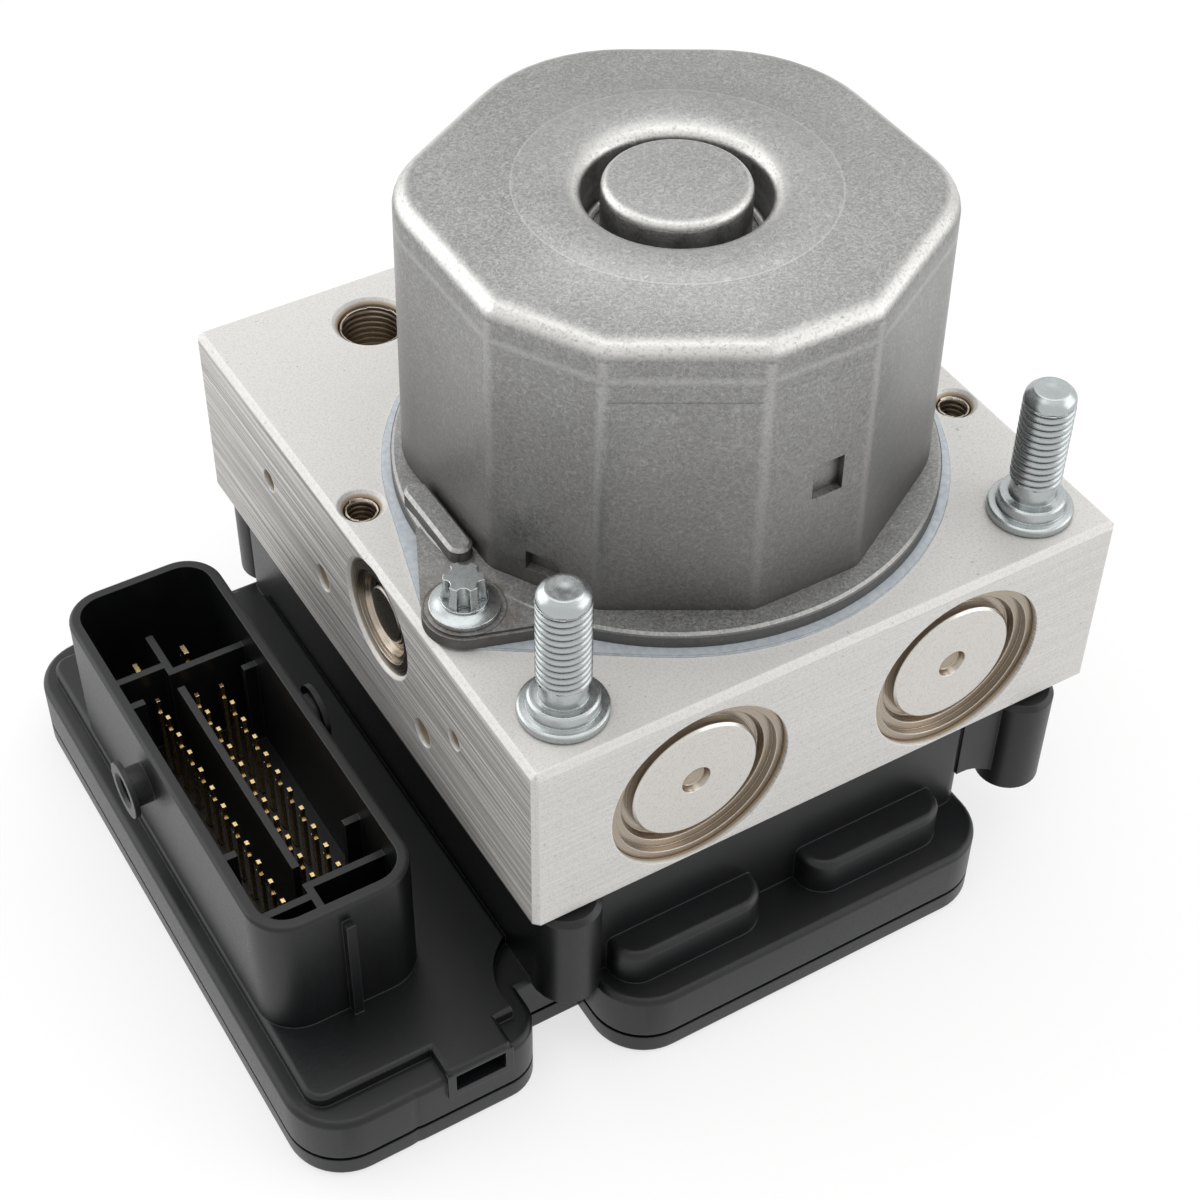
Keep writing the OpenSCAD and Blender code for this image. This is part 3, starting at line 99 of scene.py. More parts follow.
def findEdges(tree, edgeMm, start=0.98, most=1.0):  # a rounded normal and the share of edge
    flat = addNode(tree, "ShaderNodeNewGeometry").outputs["True Normal"]
    soft = addNode(tree, "ShaderNodeBevel", {"samples": 4},
                   {"Radius": edgeMm * mm}).outputs[0]
    likeness = addNode(tree, "ShaderNodeVectorMath", {"operation": "DOT_PRODUCT"},
                       {0: soft, 1: flat}).outputs["Value"]
    return soft, addNode(tree, "ShaderNodeMapRange", inputs={
        "Value": likeness, "From Min": start, "From Max": 0.8, "To Max": most}).outputs[0]


def findSeen(tree):  # what the camera sees, also in metal and through glass
    rays = addNode(tree, "ShaderNodeLightPath")
    seen = rays.outputs["Is Camera Ray"]
    for kind in ("Is Glossy Ray", "Is Transmission Ray"):
        seen = addNode(tree, "ShaderNodeMath", {"operation": "MAXIMUM"},
                       {0: seen, 1: rays.outputs[kind]}).outputs[0]
    return seen


def deselectAll():
    if bpy.context.object and bpy.context.object.mode != "OBJECT":
        bpy.ops.object.mode_set(mode="OBJECT")
    bpy.ops.object.select_all(action="DESELECT")


def pickOnly(piece):
    deselectAll()
    bpy.context.view_layer.objects.active = piece
    piece.select_set(True)


def openMesh():  # into edit mode, with the whole mesh selected
    bpy.ops.object.mode_set(mode="EDIT")
    bpy.ops.mesh.select_all(action="SELECT")


def dress(piece, material):
    piece.data.materials.clear()
    piece.data.materials.append(material)


slotOf = {row["node"]: row["material_slot"] for row in frame["record"]["subparts"]}
bodyOf = {node: body for body, nodes in frame["record"]["behaviour"]["bodies"].items()
          for node in nodes}
blockLow, blockHigh = (Vector(corner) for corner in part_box("valve_block"))
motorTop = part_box("motor_can")[1][2]


# Block: milled and etched aluminium, pale and satin. The cutter leaves fine straight lines on
# the sides and a close grain on the front and top; bores are turned, so they look darker, tan.
# Real cutter lines are about 0.05 mm apart: they are drawn at 0.24 mm so that they show.

blockFinish = {"colour": "#d9d7d4", "streak": "#6f6b66", "grain": "#c4c1bc", "pit": "#8a867f",
               "bore": "#a8967f", "edge": "#f7f6f4", "metallic": 0.22, "roughness": 0.48,
               "reliefMm": 0.02, "edgeMm": 0.45, "lineMm": 0.24, "bandMm": 3.0,
               "grainMm": 0.34, "pitMm": 0.8, "boreMm": (0.4, 0.7),
               "sideLines": 1.0, "frontLines": 0.14, "stretch": (0.004, 0.004, 1)}


def findBores(tree, s, place):  # what lies deeper than the bevel below the block's own faces
    offset = addNode(tree, "ShaderNodeVectorMath", {"operation": "SUBTRACT"},
                     {0: place, 1: (blockLow + blockHigh) / 2}).outputs[0]
    offset = addNode(tree, "ShaderNodeVectorMath", {"operation": "ABSOLUTE"},
                     {0: offset}).outputs[0]
    inside = addNode(tree, "ShaderNodeSeparateXYZ", inputs={"Vector": addNode(
        tree, "ShaderNodeVectorMath", {"operation": "SUBTRACT"},
        {0: (blockHigh - blockLow) / 2, 1: offset}).outputs[0]})
    depth = inside.outputs["X"]
    for axis in "YZ":
        depth = addNode(tree, "ShaderNodeMath", {"operation": "MINIMUM"},
                        {0: depth, 1: inside.outputs[axis]}).outputs[0]
    return addNode(tree, "ShaderNodeMapRange", inputs={
        "Value": depth, "From Min": s["boreMm"][0] * mm,
        "From Max": s["boreMm"][1] * mm}).outputs[0]


def makeMilledAluminium(s):
    material, tree = startMaterial("milledAluminium")
    place = addNode(tree, "ShaderNodeTexCoord").outputs["Object"]
    flat = addNode(tree, "ShaderNodeNewGeometry").outputs["True Normal"]
    facing = addNode(tree, "ShaderNodeSeparateXYZ", inputs={"Vector": addNode(
        tree, "ShaderNodeVectorMath", {"operation": "ABSOLUTE"}, {0: flat}).outputs[0]})
    # Cutter lines run level on the block's sides, and much fainter on its front and back
    side, front = (addNode(tree, "ShaderNodeMapRange", inputs={
        "Value": facing.outputs[axis], "From Min": 0.8, "From Max": 0.97,
        "To Max": most}).outputs[0]
        for axis, most in (("X", s["sideLines"]), ("Y", s["frontLines"])))
    milled = addNode(tree, "ShaderNodeMath", {"operation": "MAXIMUM"},
                     {0: side, 1: front}).outputs[0]
    along = addNode(tree, "ShaderNodeMapping", inputs={
        "Vector": place, "Scale": Vector(s["stretch"])}).outputs[0]
    lines = addNode(tree, "ShaderNodeTexNoise", inputs={
        "Vector": along, "Scale": 1 / (s["lineMm"] * mm), "Detail": 4.0,
        "Roughness": 0.6}).outputs[0]
    bands = addNode(tree, "ShaderNodeTexNoise", inputs={
        "Vector": along, "Scale": 1 / (s["bandMm"] * mm), "Detail": 2.0}).outputs[0]
    lineShare = addNode(tree, "ShaderNodeMapRange", inputs={
        "Value": lines, "From Min": 0.46, "From Max": 0.54, "To Max": 0.8}).outputs[0]
    bandShare = addNode(tree, "ShaderNodeMapRange", inputs={
        "Value": bands, "From Min": 0.35, "From Max": 0.6, "To Min": 0.8}).outputs[0]
    for limit in (bandShare, milled):
        lineShare = addNode(tree, "ShaderNodeMath", {"operation": "MULTIPLY"},
                            {0: lineShare, 1: limit}).outputs[0]
    grain = addNode(tree, "ShaderNodeTexNoise", inputs={
        "Vector": place, "Scale": 1 / (s["grainMm"] * mm), "Detail": 4.0,
        "Roughness": 0.6}).outputs[0]
    grainShare = addNode(tree, "ShaderNodeMapRange", inputs={
        "Value": grain, "From Min": 0.45, "From Max": 0.68, "To Max": 0.75}).outputs[0]
    pits = addNode(tree, "ShaderNodeTexNoise", inputs={
        "Vector": place, "Scale": 1 / (s["pitMm"] * mm), "Detail": 2.0}).outputs[0]
    pitShare = addNode(tree, "ShaderNodeMapRange", inputs={
        "Value": pits, "From Min": 0.7, "From Max": 0.76, "To Max": 0.5}).outputs[0]
    # The edges are painted almost white: a painted highlight
    soft, edge = findEdges(tree, s["edgeMm"])
    tone = layTones(tree, toLinear(s["colour"]), (
        (grainShare, s["grain"]), (lineShare, s["streak"]), (pitShare, s["pit"]),
        (edge, s["edge"]), (findBores(tree, s, place), s["bore"])))
    rough = addNode(tree, "ShaderNodeMapRange", inputs={
        "Value": grain, "From Min": 0.3, "From Max": 0.7, "To Min": s["roughness"] - 0.05,
        "To Max": s["roughness"] + 0.06}).outputs[0]
    height = addNode(tree, "ShaderNodeMix", inputs={0: side, 2: grain, 3: lines}).outputs[0]
    relief = addNode(tree, "ShaderNodeBump", inputs={
        "Height": height, "Distance": s["reliefMm"] * mm, "Normal": soft}).outputs[0]
    shader = addNode(tree, "ShaderNodeBsdfPrincipled", inputs={
        "Base Color": tone, "Metallic": s["metallic"], "Roughness": rough, "Normal": relief})
    addNode(tree, "ShaderNodeOutputMaterial", inputs={"Surface": shader.outputs[0]})
    return material


# Motor housing: deep-drawn steel, tumbled and passivated: mid grey with a close leathery grain,
# worn and given painted highlights round the rim and the front corners, painted darker towards the
# foot and in the corners as painted shade, and stained brown round the bolts.
# The grain of tumbling is about 0.3 mm: it is drawn at 0.5 mm so that it shows.
# Heights are measured up from the block's top, and runOutMm down from the motor's own top.
# The seat, the dish and the front line are given as a place and half a width.

motorFinish = {"colour": "#9c9c9b", "dark": "#81817f", "light": "#adadac", "wornAndHighlight": "#cfcecb",
               "stain": "#6b5747", "paintedShade": "#4a4846", "metallic": 0.85, "roughness": 0.36,
               "reliefMm": 0.035, "grainMm": 0.5, "scratchMm": 1.3, "cloudMm": 20,
               "speckMm": 0.45, "blotMm": 2.6, "cornerShadeMm": 2.6, "boltMm": (43.6, 16.3),
               "stainMm": (6.0, 9.5), "seatMm": (5.9, 0.12), "dishMm": (23.0, 0.14), "footMm": 2.6,
               "dullMm": (4, 8), "rimBandMm": (9, 12), "footShadeMm": (1, 40),
               "frontLineMm": (40.5, 0.13), "runOutMm": 6.0, "frontFacet": (-0.5, -0.866, 0)}


# Wear and painted highlight: a pale band on the rounded rim, a fainter line below it and the front
# corners
def findWearAndHighlight(tree, s, turned, height):  # the rim, the line below it and the front corners
    rise = turned.outputs["Z"]
    rim = addNode(tree, "ShaderNodeMapRange", inputs={
        "Value": rise, "From Min": 0.3, "From Max": 0.6}).outputs[0]
    rimTop = addNode(tree, "ShaderNodeMapRange", inputs={
        "Value": rise, "From Min": 0.97, "From Max": 0.85}).outputs[0]
    aloft = addNode(tree, "ShaderNodeMapRange", inputs={
        "Value": height, "From Min": blockHigh.z + s["rimBandMm"][0] * mm,
        "From Max": blockHigh.z + s["rimBandMm"][1] * mm, "To Min": 0.15}).outputs[0]
    for limit in (rimTop, aloft):
        rim = addNode(tree, "ShaderNodeMath", {"operation": "MULTIPLY"},
                      {0: rim, 1: limit}).outputs[0]
    # A second, fainter line where the rounded rim runs out into the wall
    runOut = addNode(tree, "ShaderNodeMath", {"operation": "SUBTRACT"}, {
        0: height, 1: motorTop - s["runOutMm"] * mm}).outputs[0]
    runOut = addNode(tree, "ShaderNodeMath", {"operation": "ABSOLUTE"}, {0: runOut}).outputs[0]
    runOut = addNode(tree, "ShaderNodeMapRange", inputs={
        "Value": runOut, "From Min": 0.9 * mm, "From Max": 0.1 * mm, "To Max": 0.4}).outputs[0]
    onWall = addNode(tree, "ShaderNodeMath", {"operation": "LESS_THAN"},
                     {0: rise, 1: 0.3}).outputs[0]
    runOut = addNode(tree, "ShaderNodeMath", {"operation": "MULTIPLY"},
                     {0: runOut, 1: onWall}).outputs[0]
    # The four sharp corners at the front and left stand every 30 degrees; they are painted paler,
    # more so towards the top, as wear and painted highlight
    bearing = addNode(tree, "ShaderNodeMath", {"operation": "ARCTAN2"}, {
        0: turned.outputs["Y"], 1: turned.outputs["X"]}).outputs[0]
    bearing = addNode(tree, "ShaderNodeMath", {"operation": "MULTIPLY"},
                      {0: bearing, 1: 6.0}).outputs[0]
    corner = addNode(tree, "ShaderNodeMath", {"operation": "SINE"}, {0: bearing}).outputs[0]
    corner = addNode(tree, "ShaderNodeMath", {"operation": "ABSOLUTE"}, {0: corner}).outputs[0]
    corner = addNode(tree, "ShaderNodeMapRange", inputs={
        "Value": corner, "From Min": 0.12, "From Max": 0.95, "To Max": 0.5}).outputs[0]
    limits = [addNode(tree, "ShaderNodeMath", {"operation": "LESS_THAN"}, {
        0: turned.outputs[axis], 1: limit}).outputs[0]
        for axis, limit in (("X", 0.45), ("Y", -0.08), ("Z", 0.2))]
    limits.append(addNode(tree, "ShaderNodeMapRange", inputs={
        "Value": height, "From Min": blockHigh.z, "From Max": motorTop,
        "To Min": 0.45}).outputs[0])
    for limit in limits:
        corner = addNode(tree, "ShaderNodeMath", {"operation": "MULTIPLY"},
                         {0: corner, 1: limit}).outputs[0]
    for more in (runOut, corner):
        rim = addNode(tree, "ShaderNodeMath", {"operation": "MAXIMUM"},
                      {0: rim, 1: more}).outputs[0]
    return rim


def findBoltMarks(tree, s, across):  # the stain round each bolt, and a thin ring of painted shade at its seat
    marks = []
    for side in (-1, 1):
        bolt = Vector((side * s["boltMm"][0] * mm, side * s["boltMm"][1] * mm, 0))
        reach = addNode(tree, "ShaderNodeVectorMath", {"operation": "DISTANCE"},
                        {0: across, 1: bolt}).outputs["Value"]
        near = addNode(tree, "ShaderNodeMapRange", inputs={
            "Value": reach, "From Min": s["stainMm"][1] * mm,
            "From Max": s["stainMm"][0] * mm}).outputs[0]
        marks.append((near, addNode(tree, "ShaderNodeMath", {"operation": "COMPARE"}, {
            0: reach, 1: s["seatMm"][0] * mm, 2: s["seatMm"][1] * mm}).outputs[0]))
    return [addNode(tree, "ShaderNodeMath", {"operation": "MAXIMUM"},
                    {0: left, 1: right}).outputs[0] for left, right in zip(*marks)]


def findDish(tree, s, across, rise):  # a fine painted highlight for the dish's step, and all within it drawn a little lighter
    reach = addNode(tree, "ShaderNodeVectorMath", {"operation": "LENGTH"},
                    {0: across}).outputs["Value"]
    dish = addNode(tree, "ShaderNodeMath", {"operation": "COMPARE"}, {
        0: reach, 1: s["dishMm"][0] * mm, 2: s["dishMm"][1] * mm}).outputs[0]
    within = addNode(tree, "ShaderNodeMapRange", inputs={
        "Value": reach, "From Min": (s["dishMm"][0] + 0.1) * mm,
        "From Max": (s["dishMm"][0] - 0.1) * mm, "To Max": 0.3}).outputs[0]
    dish = addNode(tree, "ShaderNodeMath", {"operation": "MAXIMUM"},
                   {0: dish, 1: within}).outputs[0]
    level = addNode(tree, "ShaderNodeMath", {"operation": "GREATER_THAN"},
                    {0: rise, 1: 0.9}).outputs[0]
    for limit in (level, 0.3):
        dish = addNode(tree, "ShaderNodeMath", {"operation": "MULTIPLY"},
                       {0: dish, 1: limit}).outputs[0]
    return dish


def findPaintedShade(tree, s, smooth, rise, height):
    # The walls are painted darker towards the foot: painted shade
    upright = addNode(tree, "ShaderNodeMapRange", inputs={
        "Value": rise, "From Min": 0.6, "From Max": 0.3}).outputs[0]
    paintedShade = addNode(tree, "ShaderNodeMapRange", inputs={
        "Value": height, "From Min": blockHigh.z + s["footShadeMm"][1] * mm,
        "From Max": blockHigh.z + s["footShadeMm"][0] * mm, "To Min": 0.18,
        "To Max": 0.8}).outputs[0]
    paintedShade = addNode(tree, "ShaderNodeMath", {"operation": "MULTIPLY"},
                   {0: paintedShade, 1: upright}).outputs[0]
    # The foot's sloped edge lies in the shade of the motor and is painted dark: painted shade
    low = addNode(tree, "ShaderNodeMath", {"operation": "LESS_THAN"}, {
        0: height, 1: blockHigh.z + s["footMm"] * mm}).outputs[0]
    sloped = addNode(tree, "ShaderNodeMapRange", inputs={
        "Value": rise, "From Min": 0.93, "From Max": 0.8, "To Max": 0.75}).outputs[0]
    sloped = addNode(tree, "ShaderNodeMath", {"operation": "MULTIPLY"},
                     {0: sloped, 1: low}).outputs[0]
    # Painted shade in the corners, and a faint painted dark line below the rim of the front wall
    # only
    openness = addNode(tree, "ShaderNodeAmbientOcclusion", {"samples": 4}, {
        "Distance": s["cornerShadeMm"] * mm}).outputs["AO"]
    cornerShade = addNode(tree, "ShaderNodeMapRange", inputs={
        "Value": openness, "From Min": 0.92, "From Max": 0.55, "To Max": 0.9}).outputs[0]
    cornerShade = addNode(tree, "ShaderNodeMath", {"operation": "MULTIPLY"},
                   {0: cornerShade, 1: upright}).outputs[0]
    drawn = addNode(tree, "ShaderNodeMath", {"operation": "COMPARE"}, {
        0: height, 1: blockHigh.z + s["frontLineMm"][0] * mm,
        2: s["frontLineMm"][1] * mm}).outputs[0]
    ahead = addNode(tree, "ShaderNodeVectorMath", {"operation": "DOT_PRODUCT"}, {
        0: smooth, 1: Vector(s["frontFacet"])}).outputs["Value"]
    ahead = addNode(tree, "ShaderNodeMapRange", inputs={
        "Value": ahead, "From Min": 0.985, "From Max": 0.999, "To Max": 0.5}).outputs[0]
    drawn = addNode(tree, "ShaderNodeMath", {"operation": "MULTIPLY"},
                    {0: drawn, 1: ahead}).outputs[0]
    for more in (sloped, cornerShade, drawn):
        paintedShade = addNode(tree, "ShaderNodeMath", {"operation": "MAXIMUM"},
                       {0: paintedShade, 1: more}).outputs[0]
    return paintedShade


def makeDrawnSteel(s):
    material, tree = startMaterial("drawnSteel")
    place = addNode(tree, "ShaderNodeTexCoord").outputs["Object"]
    across = addNode(tree, "ShaderNodeVectorMath", {"operation": "MULTIPLY"},
                     {0: place, 1: Vector((1, 1, 0))}).outputs[0]
    height = addNode(tree, "ShaderNodeSeparateXYZ", inputs={"Vector": place}).outputs["Z"]
    smooth = addNode(tree, "ShaderNodeNewGeometry").outputs["Normal"]
    turned = addNode(tree, "ShaderNodeSeparateXYZ", inputs={"Vector": smooth})
    rise = turned.outputs["Z"]
    grain = addNode(tree, "ShaderNodeTexNoise", inputs={
        "Vector": place, "Scale": 1 / (s["grainMm"] * mm), "Detail": 4.0, "Roughness": 0.65,
        "Distortion": 0.6}).outputs[0]
    grainShare = addNode(tree, "ShaderNodeMapRange", inputs={
        "Value": grain, "From Min": 0.38, "From Max": 0.62}).outputs[0]
    cloud = addNode(tree, "ShaderNodeTexNoise", inputs={
        "Vector": place, "Scale": 1 / (s["cloudMm"] * mm), "Detail": 3.0}).outputs[0]
    cloudShare = addNode(tree, "ShaderNodeMapRange", inputs={
        "Value": cloud, "From Min": 0.35, "From Max": 0.65}).outputs[0]
    # Short curved marks of tumbling lie where this pattern passes its middle
    marks = addNode(tree, "ShaderNodeTexNoise", inputs={
        "Vector": place, "Scale": 1 / (s["scratchMm"] * mm), "Detail": 2.0, "Roughness": 0.5,
        "Distortion": 1.2}).outputs[0]
    marks = addNode(tree, "ShaderNodeMath", {"operation": "SUBTRACT"},
                    {0: marks, 1: 0.5}).outputs[0]
    marks = addNode(tree, "ShaderNodeMath", {"operation": "ABSOLUTE"}, {0: marks}).outputs[0]
    marks = addNode(tree, "ShaderNodeMapRange", inputs={
        "Value": marks, "From Min": 0.035, "From Max": 0.004}).outputs[0]
    marks = addNode(tree, "ShaderNodeMath", {"operation": "MULTIPLY"},
                    {0: marks, 1: 0.35}).outputs[0]
    # The wear and painted highlights are broken up by small specks, and stains by blots
    specks = addNode(tree, "ShaderNodeTexNoise", inputs={
        "Vector": place, "Scale": 1 / (s["speckMm"] * mm), "Detail": 4.0,
        "Roughness": 0.6}).outputs[0]
    specks = addNode(tree, "ShaderNodeMapRange", inputs={
        "Value": specks, "From Min": 0.3, "From Max": 0.5, "To Min": 0.25}).outputs[0]
    wearAndHighlight = addNode(tree, "ShaderNodeMath", {"operation": "MULTIPLY"}, {
        0: findWearAndHighlight(tree, s, turned, height), 1: specks}).outputs[0]
    blots = addNode(tree, "ShaderNodeTexNoise", inputs={
        "Vector": place, "Scale": 1 / (s["blotMm"] * mm), "Detail": 4.0}).outputs[0]
    blots = addNode(tree, "ShaderNodeMapRange", inputs={
        "Value": blots, "From Min": 0.35, "From Max": 0.7, "To Max": 0.6}).outputs[0]
    # The seat's ring is painted shade where the bolt meets the foot
    stain, seat = (addNode(tree, "ShaderNodeMath", {"operation": "MULTIPLY"},
                           {0: mark, 1: share}).outputs[0]
                   for mark, share in zip(findBoltMarks(tree, s, across), (blots, 0.55)))
    plain = layTones(tree, toLinear(s["dark"]), ((cloudShare, s["colour"]),))
    tone = layTones(tree, toLinear(s["dark"]), ((grainShare, s["light"]),))
    tone = addNode(tree, "ShaderNodeMix", {"data_type": "RGBA"}, {
        0: 0.4, 6: tone, 7: plain}).outputs[2]
    tone = layTones(tree, tone, (
        (marks, s["wornAndHighlight"]), (wearAndHighlight, s["wornAndHighlight"]), (stain, s["stain"]),
        (findDish(tree, s, across, rise), s["wornAndHighlight"]), (seat, s["paintedShade"]),
        (findPaintedShade(tree, s, smooth, rise, height), s["paintedShade"])))
    rough = addNode(tree, "ShaderNodeMapRange", inputs={
        "Value": grain, "From Min": 0.3, "From Max": 0.7, "To Min": s["roughness"] - 0.07,
        "To Max": s["roughness"] + 0.09}).outputs[0]
    # The foot and its bars were never rubbed, so they stay duller than the walls
    dull = addNode(tree, "ShaderNodeMapRange", inputs={
        "Value": height, "From Min": blockHigh.z + s["dullMm"][1] * mm,
        "From Max": blockHigh.z + s["dullMm"][0] * mm, "To Max": 0.16}).outputs[0]
    rough = addNode(tree, "ShaderNodeMath", {"operation": "ADD"},
                    {0: rough, 1: dull}).outputs[0]
    pattern = addNode(tree, "ShaderNodeMath", {"operation": "ADD"},
                      {0: grain, 1: marks}).outputs[0]
    relief = addNode(tree, "ShaderNodeBump", inputs={
        "Height": pattern, "Distance": s["reliefMm"] * mm, "Strength": 0.9}).outputs[0]
    shader = addNode(tree, "ShaderNodeBsdfPrincipled", inputs={
        "Base Color": tone, "Metallic": s["metallic"], "Roughness": rough, "Normal": relief})
    addNode(tree, "ShaderNodeOutputMaterial", inputs={"Surface": shader.outputs[0]})
    return material


# Studs, bolts and fittings: turned steel with bright zinc plate: cool, clean and fairly
# mirror-like, with faint rings of turning. The rings are drawn at 0.2 mm so that they show.

zincFinish = {"colour": "#b2b7b7", "dark": "#a1a6a7", "edge": "#f4f6f6", "groove": "#303233",
              "metallic": 1.0, "roughness": 0.25, "reliefMm": 0.003, "edgeMm": 0.2,
              "ringMm": 0.2, "cloudMm": 2.5, "grooveMm": 0.6, "stretch": (0.2, 0.2, 1)}


def makeZincPlate(s):
    material, tree = startMaterial("zincPlatedSteel")
    place = addNode(tree, "ShaderNodeTexCoord").outputs["Object"]
    level = addNode(tree, "ShaderNodeMapping", inputs={
        "Vector": place, "Scale": Vector(s["stretch"])}).outputs[0]
    rings = addNode(tree, "ShaderNodeTexNoise", inputs={
        "Vector": level, "Scale": 1 / (s["ringMm"] * mm), "Detail": 3.0}).outputs[0]
    cloud = addNode(tree, "ShaderNodeTexNoise", inputs={
        "Vector": place, "Scale": 1 / (s["cloudMm"] * mm), "Detail": 3.0}).outputs[0]
    cloudShare = addNode(tree, "ShaderNodeMapRange", inputs={
        "Value": cloud, "From Min": 0.4, "From Max": 0.75, "To Max": 0.2}).outputs[0]
    # Edges and thread crests are painted near white: a painted highlight
    soft, edge = findEdges(tree, s["edgeMm"])
    # Grooves get a dark line of painted shade
    openness = addNode(tree, "ShaderNodeAmbientOcclusion", {"samples": 4}, {
        "Distance": s["grooveMm"] * mm}).outputs["AO"]
    groove = addNode(tree, "ShaderNodeMapRange", inputs={
        "Value": openness, "From Min": 0.85, "From Max": 0.5, "To Max": 0.85}).outputs[0]
    tone = layTones(tree, toLinear(s["colour"]), (
        (cloudShare, s["dark"]), (edge, s["edge"]), (groove, s["groove"])))
    rough = addNode(tree, "ShaderNodeMapRange", inputs={
        "Value": rings, "From Min": 0.3, "From Max": 0.7, "To Min": s["roughness"] - 0.04,
        "To Max": s["roughness"] + 0.08}).outputs[0]
    relief = addNode(tree, "ShaderNodeBump", inputs={
        "Height": rings, "Distance": s["reliefMm"] * mm, "Strength": 0.8,
        "Normal": soft}).outputs[0]
    shader = addNode(tree, "ShaderNodeBsdfPrincipled", inputs={
        "Base Color": tone, "Metallic": s["metallic"], "Roughness": rough, "Normal": relief})
    addNode(tree, "ShaderNodeOutputMaterial", inputs={"Surface": shader.outputs[0]})
    return material


# Caps, plugs and port threads: turned aluminium, lightly anodised: a pale flat disc with tan
# steps round it. A lathe's feed is about 0.08 mm: its rings are drawn at 0.16 mm.

capFinish = {"disc": "#cfccc8", "ring": "#9d9080", "line": "#4c4238", "edge": "#e6e1d9",
             "metallic": 1.0, "roughness": 0.27, "reliefMm": 0.008, "edgeMm": 0.22,
             "ringMm": 0.16, "grainMm": 0.34, "cornerShadeMm": 0.9}
plugFinish = dict(capFinish, disc="#7d776f")  # a shaded copy of the caps' finish: the plugs' discs are painted darker, as painted shade


def makeTurnedCap(name, s, axis, centre, discMm, dimpleMm=0.0):
    material, tree = startMaterial(name)
    place = addNode(tree, "ShaderNodeTexCoord").outputs["Object"]
    offset = addNode(tree, "ShaderNodeVectorMath", {"operation": "SUBTRACT"},
                     {0: place, 1: centre}).outputs[0]
    across = {"X": Vector((0, 1, 1)), "Y": Vector((1, 0, 1)), "Z": Vector((1, 1, 0))}[axis]
    offset = addNode(tree, "ShaderNodeVectorMath", {"operation": "MULTIPLY"},
                     {0: offset, 1: across}).outputs[0]
    radius = addNode(tree, "ShaderNodeVectorMath", {"operation": "LENGTH"},
                     {0: offset}).outputs["Value"]
    turns = addNode(tree, "ShaderNodeMath", {"operation": "MULTIPLY"},
                    {0: radius, 1: 1 / (s["ringMm"] * mm)}).outputs[0]
    turning = addNode(tree, "ShaderNodeTexNoise", {"noise_dimensions": "1D"},
                      {"W": turns, "Scale": 1.0, "Detail": 3.0}).outputs[0]
    turnShare = addNode(tree, "ShaderNodeMapRange", inputs={
        "Value": turning, "From Min": 0.35, "From Max": 0.65, "To Max": 0.22}).outputs[0]
    outer = addNode(tree, "ShaderNodeMapRange", inputs={
        "Value": radius, "From Min": (discMm - 0.1) * mm,
        "From Max": (discMm + 0.15) * mm}).outputs[0]
    dimple = addNode(tree, "ShaderNodeMapRange", inputs={
        "Value": radius, "From Min": (dimpleMm + 0.1) * mm,
        "From Max": (dimpleMm - 0.2) * mm}).outputs[0]
    outer = addNode(tree, "ShaderNodeMath", {"operation": "MAXIMUM"},
                    {0: outer, 1: dimple}).outputs[0]
    grain = addNode(tree, "ShaderNodeTexNoise", inputs={
        "Vector": place, "Scale": 1 / (s["grainMm"] * mm), "Detail": 4.0,
        "Roughness": 0.6}).outputs[0]
    grainShare = addNode(tree, "ShaderNodeMapRange", inputs={
        "Value": grain, "From Min": 0.5, "From Max": 0.7, "To Max": 0.35}).outputs[0]
    # Inner corners get a dark line of painted shade, and outer edges a painted highlight
    soft, edge = findEdges(tree, s["edgeMm"])
    openness = addNode(tree, "ShaderNodeAmbientOcclusion", {"samples": 4}, {
        "Distance": s["cornerShadeMm"] * mm}).outputs["AO"]
    cornerShade = addNode(tree, "ShaderNodeMapRange", inputs={
        "Value": openness, "From Min": 0.75, "From Max": 0.4, "To Max": 0.8}).outputs[0]
    tone = layTones(tree, toLinear(s["disc"]), (
        (grainShare, s["ring"]), (outer, s["ring"]), (turnShare, s["edge"]),
        (edge, s["edge"]), (cornerShade, s["line"])))
    rough = addNode(tree, "ShaderNodeMapRange", inputs={
        "Value": turning, "From Min": 0.3, "From Max": 0.7, "To Min": s["roughness"] - 0.04,
        "To Max": s["roughness"] + 0.06}).outputs[0]
    relief = addNode(tree, "ShaderNodeBump", inputs={
        "Height": turning, "Distance": s["reliefMm"] * mm, "Strength": 0.8,
        "Normal": soft}).outputs[0]
    shader = addNode(tree, "ShaderNodeBsdfPrincipled", inputs={
        "Base Color": tone, "Metallic": s["metallic"], "Roughness": rough, "Normal": relief})
    addNode(tree, "ShaderNodeOutputMaterial", inputs={"Surface": shader.outputs[0]})
    return material


# Control housing and lid: glass-filled nylon, moulded: near black, a fine spark grain with a
# soft sheen, edges painted paler as a painted highlight. Grain of 0.1 mm, drawn at 0.26 mm.

nylonFinish = {"colour": "#0c0d0f", "light": "#121315", "edge": "#5b5d60", "metallic": 0.0,
               "roughness": 0.36, "reliefMm": 0.012, "edgeMm": 0.24, "grainMm": 0.26,
               "flowMm": 14, "stretch": (1, 0.3, 1)}


